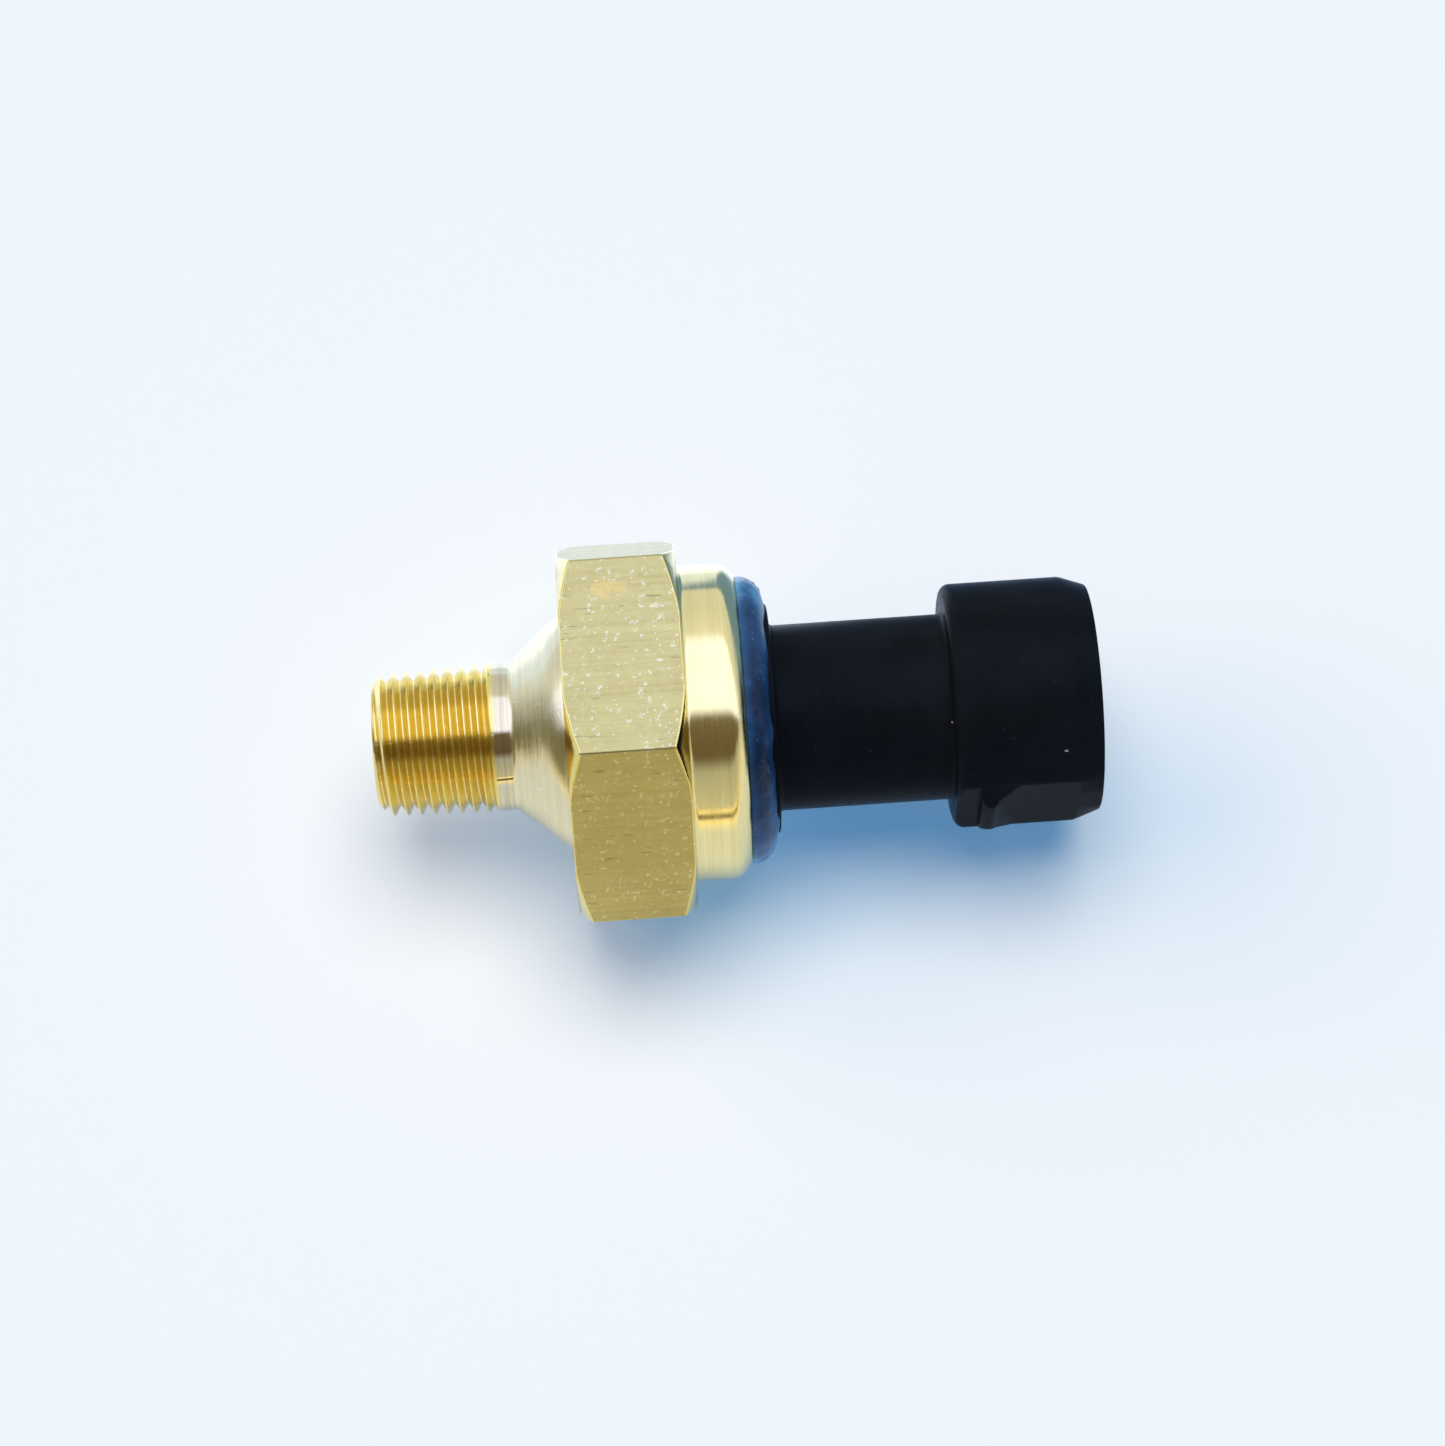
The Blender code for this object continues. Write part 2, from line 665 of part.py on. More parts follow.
def connector_housing():
    """The black moulding: flange, boss, neck and round head with its socket, lock flat and lock wedge."""
    outline = [
        (SOCKET_FLOOR, 0),
        (SOCKET_FLOOR, SOCKET_RADIUS),
        (HEAD_END, SOCKET_RADIUS),
        (HEAD_END, RIM_RADIUS),
        (HEAD_END - RIM_TAPER_LENGTH, HEAD_RADIUS),
        *arc(NECK_END + HEAD_SHOULDER, HEAD_RADIUS - HEAD_SHOULDER, HEAD_SHOULDER, 90, 180, ARC_FACETS),
        (NECK_END, NECK_RADIUS + NECK_FILLET),
        (NECK_END - NECK_FILLET, NECK_RADIUS),
        (BOSS_END + NECK_FILLET, NECK_RADIUS),
        (BOSS_END, NECK_RADIUS + NECK_FILLET),
        (BOSS_END, BOSS_RADIUS - BOSS_EDGE),
        (BOSS_END - BOSS_EDGE, BOSS_RADIUS),
        (WASHER_START - GAP / 2, BOSS_RADIUS),
        (WASHER_START - GAP / 2, FLANGE_RADIUS),
        (FLANGE_START, FLANGE_RADIUS),
        (FLANGE_START, CHAMBER_RADIUS),
        (WEB_START, CHAMBER_RADIUS),
        (WEB_START, 0),
    ]
    housing = turned("connector_housing", outline, black_nylon())
    cut_blade_slots(housing, WEB_START, SOCKET_FLOOR)
    depth = HEAD_RADIUS
    middle = -LOCK_FLAT - depth / 2
    flat = box("lock_flat", NECK_END - GAP, HEAD_END + GAP, middle, 0, depth, 2 * HEAD_RADIUS)
    combine(housing, "DIFFERENCE", flat)
    combine(housing, "UNION", lock_wedge())
    combine(housing, "UNION", index_rib())


def lock_wedge():
    """The wedge that the plug's latch snaps over: a steep face, a rounded peak, a ramp and sloping sides."""
    start = NECK_END + LOCK_START
    sunk = (SOCKET_RADIUS + LOCK_FLAT) / 2
    peak = LOCK_PEAK_LENGTH / 2
    top = LOCK_FLAT + LOCK_HEIGHT - peak
    outline = [
        (start + LOCK_PEAK_LENGTH + LOCK_RAMP_LENGTH, sunk),
        (start + LOCK_PEAK_LENGTH + LOCK_RAMP_LENGTH, LOCK_FLAT),
        *arc(start + peak, top, peak, 30, 180, ARC_FACETS + 1),
        (start, sunk),
    ]
    points = [(along(station), -height, AXIS_HEIGHT - LOCK_WIDTH / 2) for station, height in outline]
    wedge = extruded("lock_wedge", points, (0, 0, LOCK_WIDTH))
    slope = (LOCK_BASE_WIDTH - LOCK_WIDTH) / 2 / LOCK_HEIGHT
    for corner in wedge.data.vertices:
        below_peak = LOCK_FLAT + LOCK_HEIGHT + corner.co.y
        half_width = LOCK_WIDTH / 2 + below_peak * slope
        corner.co.z = AXIS_HEIGHT + math.copysign(half_width, corner.co.z - AXIS_HEIGHT)
    return wedge


def index_rib():
    """The rib inside the socket, opposite the lock, that lets the plug in only one way round."""
    end = HEAD_END - RIB_INSET
    outer = (SOCKET_RADIUS + HEAD_RADIUS) / 2
    inner = SOCKET_RADIUS - RIB_HEIGHT
    start = SOCKET_FLOOR - GAP
    return box("index_rib", start, end, (inner + outer) / 2, 0, outer - inner, RIB_WIDTH)


def sealant_bead():
    """The blue sealant that fills the groove behind the crimped lip and bulges over the lip's end."""
    inner = BOSS_RADIUS + RUNNING_GAP
    start = WASHER_START + WASHER_THICKNESS + GAP
    neck = LIP_RADIUS - GAP
    foot = COLLAR_END + GAP
    edge = LIP_RADIUS + BEAD_SPREAD
    steps = ARC_FACETS + 1
    dome = []
    for i in range(steps + 1):
        turn = math.pi / 2 * i / steps
        dome.append((foot + BEAD_HEIGHT * math.cos(turn), inner + (edge - inner) * math.sin(turn)))
    turned("sealant_bead", [*dome, (foot, neck), (start, neck), (start, inner)], blue_sealant())


def main():
    """Makes every piece."""
    clear_scene()
    switch_body()
    port_snubber()
    diaphragm_o_ring()
    diaphragm()
    spring_cup()
    pressure_piston()
    push_pin()
    set_spring()
    set_nut()
    contact_base()
    contact_arm()
    moving_contact()
    fixed_contacts()
    terminals()
    terminal_potting()
    flange_seal()
    crimp_washer()
    connector_housing()
    sealant_bead()


main()
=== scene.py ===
"""A pressure switch, finished: threaded brass body, crimped collar, blue sealant and black round connector.

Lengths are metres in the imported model's own axes. A station is a distance along the switch's axis from the
port's end face, and an angle turns about that axis from +Y towards +Z.
"""

import logging
import math
from dataclasses import dataclass, field
from enum import Enum

import bmesh
import bpy
import numpy as np
from mathutils import Matrix, Vector


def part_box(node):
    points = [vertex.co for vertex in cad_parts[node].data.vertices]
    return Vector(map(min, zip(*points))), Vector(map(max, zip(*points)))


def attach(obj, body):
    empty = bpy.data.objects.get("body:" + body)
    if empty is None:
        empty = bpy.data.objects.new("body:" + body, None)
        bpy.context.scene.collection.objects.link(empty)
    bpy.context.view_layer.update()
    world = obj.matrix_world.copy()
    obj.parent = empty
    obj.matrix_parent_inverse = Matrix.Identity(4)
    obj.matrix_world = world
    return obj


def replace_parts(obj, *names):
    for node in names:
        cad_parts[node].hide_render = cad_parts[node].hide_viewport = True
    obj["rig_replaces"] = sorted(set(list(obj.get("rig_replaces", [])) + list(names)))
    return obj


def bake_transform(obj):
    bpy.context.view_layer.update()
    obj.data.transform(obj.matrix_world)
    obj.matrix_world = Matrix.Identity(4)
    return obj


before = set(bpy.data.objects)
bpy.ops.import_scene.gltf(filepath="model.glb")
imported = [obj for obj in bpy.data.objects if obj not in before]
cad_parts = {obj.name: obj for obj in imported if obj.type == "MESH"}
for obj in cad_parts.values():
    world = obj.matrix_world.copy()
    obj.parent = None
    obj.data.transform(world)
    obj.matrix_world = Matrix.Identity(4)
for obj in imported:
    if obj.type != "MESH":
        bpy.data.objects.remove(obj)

LOG = logging.getLogger("pressure_switch")
BODY = "switch"
FULL_TURN = math.tau
MM = 0.001

Node = bpy.types.Node
Socket = bpy.types.NodeSocket
Tree = bpy.types.NodeTree
Object = bpy.types.Object
Material = bpy.types.Material
Inputs = dict[str | int, object]
Outputs = dict[str, Socket]
Colour = tuple[float, float, float]
Point = tuple[float, float, float]
Outline = tuple[tuple[float, float], ...]


class Wiring:
    """Adds nodes to one shader tree and joins them."""

    def __init__(self, tree: Tree) -> None:
        """Takes the tree to work in."""
        self.tree = tree

    def add(self, kind: str, inputs: Inputs | None = None, **settings: object) -> Node:
        """Adds a node.

        Args:
            kind: The node's type, without the ShaderNode that it starts with.
            inputs: Socket names or numbers, each with a socket to link or a value to set.
            settings: Properties of the node.

        Returns:
            The new node.
        """
        node = self.tree.nodes.new("ShaderNode" + kind)
        for key, value in settings.items():
            setattr(node, key, value)
        self.fill(node, inputs or {})
        return node

    def fill(self, node: Node, inputs: Inputs) -> None:
        """Feeds several inputs of a node, by socket name or number."""
        for key, value in inputs.items():
            self.feed(node.inputs[key], value)

    def feed(self, socket: Socket, value: object) -> None:
        """Links a socket, or sets its value.

        Args:
            socket: The input to feed.
            value: An output to link from, or a plain value.
        """
        if isinstance(value, Socket):
            self.tree.links.new(value, socket)
        else:
            socket.default_value = value

    def math(self, operation: str, a: object, b: object = 0.0) -> Socket:
        """Returns the result of one sum on two numbers."""
        return self.add("Math", {0: a, 1: b}, operation=operation).outputs[0]

    def times(self, a: object, b: object) -> Socket:
        """Returns the product of two numbers."""
        return self.math("MULTIPLY", a, b)

    def plus(self, a: object, b: object) -> Socket:
        """Returns the sum of two numbers."""
        return self.math("ADD", a, b)

    def minus(self, a: object, b: object) -> Socket:
        """Returns the difference of two numbers."""
        return self.math("SUBTRACT", a, b)

    def here(self) -> Socket:
        """Returns the place of the point being shaded."""
        return self.add("TexCoord").outputs["Object"]

    def stretch(self, vector: object, factors: Point) -> Socket:
        """Returns a vector with each of its parts multiplied by a factor."""
        return self.vector("MULTIPLY", vector, factors).outputs[0]

    def parts(self, vector: object) -> list[Socket]:
        """Returns a vector's x, y and z."""
        return list(self.add("SeparateXYZ", {0: vector}).outputs)

    def vector(self, operation: str, a: object, b: object = (0.0, 0.0, 0.0)) -> Node:
        """Returns a node for one sum on two vectors."""
        return self.add("VectorMath", {0: a, 1: b}, operation=operation)

    def spread(self, value: object, low: float, high: float, start: object = 0.0,
               end: object = 1.0) -> Socket:
        """Returns start to end as a value goes from low to high, and holds it there beyond them."""
        inputs = {"Value": value, "From Min": low, "From Max": high, "To Min": start, "To Max": end}
        return self.add("MapRange", inputs).outputs[0]

    def between(self, share: object, start: float, end: float) -> Socket:
        """Returns a value that goes from start to end as a share goes from 0 to 1."""
        return self.spread(share, 0.0, 1.0, start, end)

    def mix(self, share: object, a: object, b: object) -> Socket:
        """Returns a mix of two colours, with the given share of the second one."""
        return self.add("Mix", {0: share, 6: a, 7: b}, data_type="RGBA").outputs[2]

    def coats(self, colour: object, coats: list[tuple[Socket, object]]) -> Socket:
        """Lays colours over a first one, each where its own mask is.

        Args:
            colour: The first colour.
            coats: A mask and a colour for each coat.

        Returns:
            The finished colour's socket.
        """
        for mask, coat in coats:
            colour = self.mix(mask, colour, coat)
        return colour

    def noise(self, vector: object, scale: object, detail: float = 2.0,
              rough: float = 0.5) -> Socket:
        """Returns a smooth random value that varies over the surface."""
        inputs = {"Vector": vector, "Scale": scale, "Detail": detail, "Roughness": rough}
        return self.add("TexNoise", inputs).outputs[0]


LINE_SCALE = 9000.0
SCRATCH_STRETCH = (260.0, 5200.0, 2600.0)
SCRATCH_CRISPNESS = 14.0
SPECK_SOFTNESS = 0.035
MARK_STRETCH = (420.0, 3600.0, 3600.0)
MARK_SOFTNESS = 0.05
SCUFF_STRETCH = (0.75, 1.3, 1.0)
SCUFF_SCALE = 1300.0
SCUFF_FRAY = 0.55
EDGE_SCALE = 900.0
CORNER_COSINES = (0.995, 0.9)


class Effect(Enum):
    """The surface effects that several finishes share."""

    PLACE = "place_on_switch"
    TOOL_LINES = "tool_lines"
    SCRATCHES = "fine_scratches"
    SPECKS = "specks"
    EDGE = "worn_edges"
    CLOUDS = "clouds"
    MARKS = "short_marks"
    SCUFF = "scuff"


class Effects:
    """The shared node groups, each made once."""

    def __init__(self, axis_height: float) -> None:
        """Makes every group.

        Args:
            axis_height: The height of the switch's axis over the floor.
        """
        self.axis_height = axis_height
        self.groups = {
            Effect.PLACE: self.place(),
            Effect.TOOL_LINES: self.tool_lines(),
            Effect.SCRATCHES: self.scratches(),
            Effect.SPECKS: self.specks(),
            Effect.EDGE: self.edge(),
            Effect.CLOUDS: self.clouds(),
            Effect.MARKS: self.marks(),
            Effect.SCUFF: self.scuff(),
        }

    @staticmethod
    def start(effect: Effect, inputs: dict[str, float | None],
              outputs: tuple[str, ...]) -> tuple[Wiring, Node, Node]:
        """Starts a node group.

        Args:
            effect: The effect that the group makes.
            inputs: Its inputs' names, each with its usual value, or None for a vector.
            outputs: The names of the values that it puts out.

        Returns:
            The wiring of the group, its input node and its output node.
        """
        tree = bpy.data.node_groups.new(effect.value, "ShaderNodeTree")
        for name, value in inputs.items():
            kind = "NodeSocketVector" if value is None else "NodeSocketFloat"
            socket = tree.interface.new_socket(name=name, in_out="INPUT", socket_type=kind)
            if value is not None:
                socket.default_value = value
        for name in outputs:
            kind = "NodeSocketVector" if name == "Place" else "NodeSocketFloat"
            tree.interface.new_socket(name=name, in_out="OUTPUT", socket_type=kind)
        return Wiring(tree), tree.nodes.new("NodeGroupInput"), tree.nodes.new("NodeGroupOutput")

    def place(self) -> Tree:
        """Where a point lies on the switch.

        Returns:
            A group that puts out the place, the radius from the axis and the turn about it.
        """
        w, _, out = self.start(Effect.PLACE, {}, ("Place", "Radius", "Turn"))
        centred = w.vector("SUBTRACT", w.here(), (0.0, 0.0, self.axis_height)).outputs[0]
        _, y, z = w.parts(centred)
        flat = w.add("CombineXYZ", {1: y, 2: z}).outputs[0]
        radius = w.vector("LENGTH", flat).outputs["Value"]
        w.fill(out, {"Place": centred, "Radius": radius, "Turn": w.math("ARCTAN2", z, y)})
        return w.tree

    @staticmethod
    def over(w: Wiring, value: Socket, share: Socket, rare: float, common: float) -> Socket:
        """How far a value is over a level that goes from rare to common as a share goes from 0 to 1."""
        return w.minus(value, w.between(share, rare, common))

    def tool_lines(self) -> Tree:
        """Fine lines left by a tool, across the direction in which the given vector changes fastest.

        Returns:
            A group that puts out coarse and fine lines, each from 0 to 1.
        """
        inputs = {"Vector": None, "Scale": LINE_SCALE}
        w, given, out = self.start(Effect.TOOL_LINES, inputs, ("Coarse", "Fine"))
        for name, factor, detail in (("Coarse", 0.28, 3.0), ("Fine", 1.0, 2.0)):
            scale = w.times(given.outputs["Scale"], factor)
            value = w.noise(given.outputs["Vector"], scale, detail, rough=0.65)
            w.feed(out.inputs[name], w.spread(value, 0.3, 0.7))
        return w.tree

    def scratches(self) -> Tree:
        """Short hairline scratches in three directions.

        Returns:
            A group that puts out a mask of the scratches.
        """
        w, given, out = self.start(Effect.SCRATCHES, {"Scale": 1.0, "Amount": 0.5}, ("Mask",))
        here = w.here()
        masks = []
        for turn, offset in (((0.3, 0.2, 0.5), 0.0), ((1.1, 0.4, 1.9), 0.03), ((0.2, 1.3, 2.7), 0.07)):
            turned = w.add("Mapping", {"Vector": here, "Rotation": turn, "Location": (offset,) * 3})
            drawn = w.stretch(turned.outputs[0], SCRATCH_STRETCH)
            scaled = w.add("VectorMath", {0: drawn, "Scale": given.outputs["Scale"]}, operation="SCALE")
            value = w.noise(scaled.outputs[0], 1.0, detail=1.0)
            over = self.over(w, value, given.outputs["Amount"], rare=0.76, common=0.58)
            masks.append(w.times(over, SCRATCH_CRISPNESS))
        mask = w.math("MAXIMUM", w.math("MAXIMUM", masks[0], masks[1]), masks[2])
        w.feed(out.inputs["Mask"], w.spread(mask, 0.0, 1.0))
        return w.tree

    def specks(self) -> Tree:
        """Small ragged specks of mixed size.

        Returns:
            A group that puts out a mask of the specks.
        """
        w, given, out = self.start(Effect.SPECKS, {"Scale": 2600.0, "Share": 0.2}, ("Mask",))
        value = w.noise(w.here(), given.outputs["Scale"], detail=3.0, rough=0.6)
        over = self.over(w, value, given.outputs["Share"], rare=0.72, common=0.54)
        w.feed(out.inputs["Mask"], w.spread(over, 0.0, SPECK_SOFTNESS))
        return w.tree

    def marks(self) -> Tree:
        """Short narrow marks that run along the axis.

        Returns:
            A group that puts out a mask of the marks.
        """
        w, given, out = self.start(Effect.MARKS, {"Share": 0.3}, ("Mask",))
        value = w.noise(w.stretch(w.here(), MARK_STRETCH), 1.0, rough=0.55)
        over = self.over(w, value, given.outputs["Share"], rare=0.74, common=0.54)
        w.feed(out.inputs["Mask"], w.spread(over, 0.0, MARK_SOFTNESS))
        return w.tree

    def scuff(self) -> Tree:
        """One ragged rubbed patch about a point.

        Returns:
            A group that puts out a mask of the patch.
        """
        w, given, out = self.start(Effect.SCUFF, {"Centre": None, "Size": 1.5 * MM}, ("Mask",))
        here = w.here()
        off = w.vector("SUBTRACT", here, given.outputs["Centre"]).outputs[0]
        far = w.vector("LENGTH", w.stretch(off, SCUFF_STRETCH)).outputs["Value"]
        share = w.math("DIVIDE", far, given.outputs["Size"])
        value = w.noise(here, SCUFF_SCALE, detail=4.0, rough=0.65)
        ragged = w.plus(share, w.spread(value, 0.25, 0.75, start=-SCUFF_FRAY, end=SCUFF_FRAY))
        w.feed(out.inputs["Mask"], w.spread(ragged, 0.75, 0.35))
        return w.tree

    def edge(self) -> Tree:
        """Where the surface turns a corner.

        Returns:
            A group that puts out a mask of the edges, broken up as wear is; metal paints its worn edges with
            it, plastic a painted edge highlight.
        """
        w, given, out = self.start(Effect.EDGE, {"Width": 0.12 * MM, "Amount": 1.0}, ("Mask",))
        rounded = w.add("Bevel", {"Radius": given.outputs["Width"]}, samples=6)
        true = w.add("NewGeometry").outputs["Normal"]
        lean = w.vector("DOT_PRODUCT", rounded.outputs[0], true).outputs["Value"]
        broken = w.spread(w.noise(w.here(), EDGE_SCALE, detail=3.0), 0.3, 0.62)
        corner = w.spread(lean, *CORNER_COSINES)
        w.feed(out.inputs["Mask"], w.times(w.times(corner, broken), given.outputs["Amount"]))
        return w.tree

    def clouds(self) -> Tree:
        """Soft uneven patches, such as handling and tarnish leave.

        Returns:
            A group that puts out broad and small patches, each from 0 to 1.
        """
        w, given, out = self.start(Effect.CLOUDS, {"Scale": 220.0}, ("Broad", "Small"))
        here = w.here()
        for name, factor in (("Broad", 1.0), ("Small", 7.0)):
            scale = w.times(given.outputs["Scale"], factor)
            value = w.noise(here, scale, detail=4.0, rough=0.6)
            w.feed(out.inputs[name], w.spread(value, 0.32, 0.68))
        return w.tree

    def put(self, w: Wiring, effect: Effect, inputs: Inputs | None = None) -> Outputs:
        """Places an effect in a material.

        Args:
            w: The material's wiring.
            effect: The effect to place.
            inputs: The effect's inputs.

        Returns:
            The effect's outputs by name.
        """
        node = w.tree.nodes.new("ShaderNodeGroup")
        node.node_tree = self.groups[effect]
        w.fill(node, inputs or {})
        return {socket.name: socket for socket in node.outputs}


def opaque(colour: Colour) -> tuple[float, float, float, float]:
    """The colour with full opacity."""
    return (*colour, 1.0)


def blank_material(name: str) -> tuple[Material, Wiring, Node]:
    """Starts a material.

    Args:
        name: The material's name.

    Returns:
        The material, its wiring and its Principled shader.
    """
    material = bpy.data.materials.new(name)
    material.use_nodes = True
    wiring = Wiring(material.node_tree)
    return material, wiring, material.node_tree.nodes["Principled BSDF"]


class ToolPath(Enum):
    """The way that a cutting tool's lines run."""

    ROUND = "round the axis"
    ALONG = "along the axis"


BRIGHT_SHARE = 0.6
BRIGHT_LIFT = 0.38
BROWN_SHARE = 0.5
RUBBED_TINT = (1.35, 1.05, 0.8)
SCRATCH_COVER = 0.45
SPECK_COVER = 0.6
MARK_COVER = 0.55
SCUFF_COVER = 0.4
COARSE_DEPTH = 0.8
SCRATCH_DEPTH = 0.8
SPECK_POLISH = 0.04
ALONG_STRETCH = (0.012, 1.0, 1.0)
LINE_SWAY = 0.04 * MM
LINE_TURN = 0.12 * MM


@dataclass(frozen=True)
class MachinedMetal:
    """Bare metal with tool lines, tarnish, scratches, bright worn edges and pale specks that are partly small
    pits and partly painted glints.
    """

    name: str
    colour: Colour
    tarnish: Colour
    roughness: float
    path: ToolPath = ToolPath.ROUND
    line_scale: float = LINE_SCALE
    line_height: float = 0.002 * MM
    line_contrast: float = 0.25
    tarnish_share: float = 0.5
    scratch_share: float = 0.4
    speck_share: float = 0.12
    mark_share: float = 0.0
    scuff_place: Point | None = None
    edge_width: float = 0.1 * MM

    def make(self, effects: Effects) -> Material:
        """Makes the material.

        Args:
            effects: The shared node groups.

        Returns:
            The finished material.
        """
        material, w, shader = blank_material(self.name)
        place = effects.put(w, Effect.PLACE)
        lines = effects.put(w, Effect.TOOL_LINES, {"Vector": self.lay(w, place), "Scale": self.line_scale})
        clouds = effects.put(w, Effect.CLOUDS)
        scratches = effects.put(w, Effect.SCRATCHES, {"Amount": self.scratch_share})["Mask"]
        specks = effects.put(w, Effect.SPECKS, {"Share": self.speck_share})["Mask"]
        edge = effects.put(w, Effect.EDGE, {"Width": self.edge_width})["Mask"]
        bright = opaque(tuple(part * BRIGHT_SHARE + BRIGHT_LIFT for part in self.colour))
        # The specks are pale pits that also stand in for painted glints.
        coats = [(w.times(scratches, SCRATCH_COVER), bright), (w.times(specks, SPECK_COVER), bright)]
        if self.mark_share > 0:
            marks = effects.put(w, Effect.MARKS, {"Share": self.mark_share})["Mask"]
            brown = opaque(tuple(part * BROWN_SHARE for part in self.tarnish))
            coats.append((w.times(marks, MARK_COVER), brown))
        if self.scuff_place:
            scuff = effects.put(w, Effect.SCUFF, {"Centre": self.scuff_place})["Mask"]
            rubbed = tuple(min(1.0, part * tint) for part, tint in zip(self.colour, RUBBED_TINT))
            coats.append((w.times(scuff, SCUFF_COVER), opaque(rubbed)))
        streaks = w.times(lines["Coarse"], self.line_contrast)
        patches = w.times(clouds["Broad"], self.tarnish_share)
        share = w.plus(streaks, w.times(patches, w.between(clouds["Small"], 0.6, 1.0)))
        base = w.mix(share, opaque(self.colour), opaque(self.tarnish))
        rough = w.between(lines["Fine"], self.roughness * 0.8, self.roughness * 1.2)
        rough = w.plus(rough, w.times(clouds["Small"], self.roughness * 0.25))
        height = w.plus(lines["Fine"], w.times(lines["Coarse"], COARSE_DEPTH))
        height = w.minus(height, w.times(scratches, SCRATCH_DEPTH))
        bump = w.add("Bump", {"Height": height, "Distance": self.line_height, "Strength": 1.0})
        w.fill(shader, {
            "Base Color": w.coats(base, [*coats, (edge, bright)]),
            "Metallic": 1.0,
            "Roughness": w.minus(rough, w.times(specks, SPECK_POLISH)),
            "Normal": bump.outputs[0],
        })
        return material

    def lay(self, w: Wiring, place: Outputs) -> Socket:
        """Stretches space so that noise becomes lines.

        Args:
            w: The material's wiring.
            place: The outputs of the place effect.

        Returns:
            The stretched coordinates.
        """
        if self.path is ToolPath.ALONG:
            return w.stretch(place["Place"], ALONG_STRETCH)
        sway = w.times(w.math("SINE", place["Turn"]), LINE_SWAY)
        turn = w.times(w.math("ABSOLUTE", place["Turn"]), LINE_TURN)
        inputs = {0: w.plus(w.parts(place["Place"])[0], sway), 1: place["Radius"], 2: turn}
        return w.add("CombineXYZ", inputs).outputs[0]


PALE_SHARE = 1.7
PALE_LIFT = 0.001
GRAIN_SCALE = 5200.0
NICK_SIZE = 0.13 * MM
NICK_COLOUR = (0.35, 0.38, 0.42)


@dataclass(frozen=True)
class MouldedPlastic:
    """Dark moulded plastic with a fine grain, faint flow marks, a rare pale speck and a painted pale-blue
    highlight along its edges.
    """

    name: str
    colour: Colour
    dust_and_edge_highlight: Colour
    roughness: float
    grain_height: float = 0.0025 * MM
    shine: float = 0.3
    shine_colour: Colour = (1.0, 1.0, 1.0)
    nicks: tuple[Point, ...] = ()

    def make(self, effects: Effects) -> Material:
        """Makes the material.

        Args:
            effects: The shared node groups.

        Returns:
            The finished material.
        """
        material, w, shader = blank_material(self.name)
        clouds = effects.put(w, Effect.CLOUDS, {"Scale": 260.0})
        specks = effects.put(w, Effect.SPECKS, {"Scale": 1900.0, "Share": 0.0})["Mask"]
        edge = effects.put(w, Effect.EDGE, {"Width": 0.15 * MM, "Amount": 0.35})["Mask"]
        scratches = effects.put(w, Effect.SCRATCHES, {"Amount": 0.04, "Scale": 0.8})["Mask"]
        pale = opaque(tuple(part * PALE_SHARE + PALE_LIFT for part in self.colour))
        dust_and_edge_highlight = opaque(self.dust_and_edge_highlight)
        # The edge coat is a painted highlight, laid in the same pale blue-grey as the dust specks and
        # scratches.
        masks = ((clouds["Broad"], 0.6, pale), (specks, 0.08, dust_and_edge_highlight), (scratches, 0.06, dust_and_edge_highlight),
                 (edge, 0.3, dust_and_edge_highlight))
        coats = [(w.times(mask, cover), colour) for mask, cover, colour in masks]
        for place in self.nicks:
            nick = effects.put(w, Effect.SCUFF, {"Centre": place, "Size": NICK_SIZE})["Mask"]
            coats.append((nick, opaque(NICK_COLOUR)))
        grain = w.noise(w.here(), GRAIN_SCALE, detail=3.0, rough=0.6)
        bump = w.add("Bump", {"Height": grain, "Distance": self.grain_height, "Strength": 1.0})
        w.fill(shader, {
            "Base Color": w.coats(opaque(self.colour), coats),
            "Specular IOR Level": self.shine,
            "Specular Tint": opaque(self.shine_colour),
            "Roughness": w.between(clouds["Small"], self.roughness * 0.85, self.roughness * 1.2),
            "Normal": bump.outputs[0],
        })
        return material


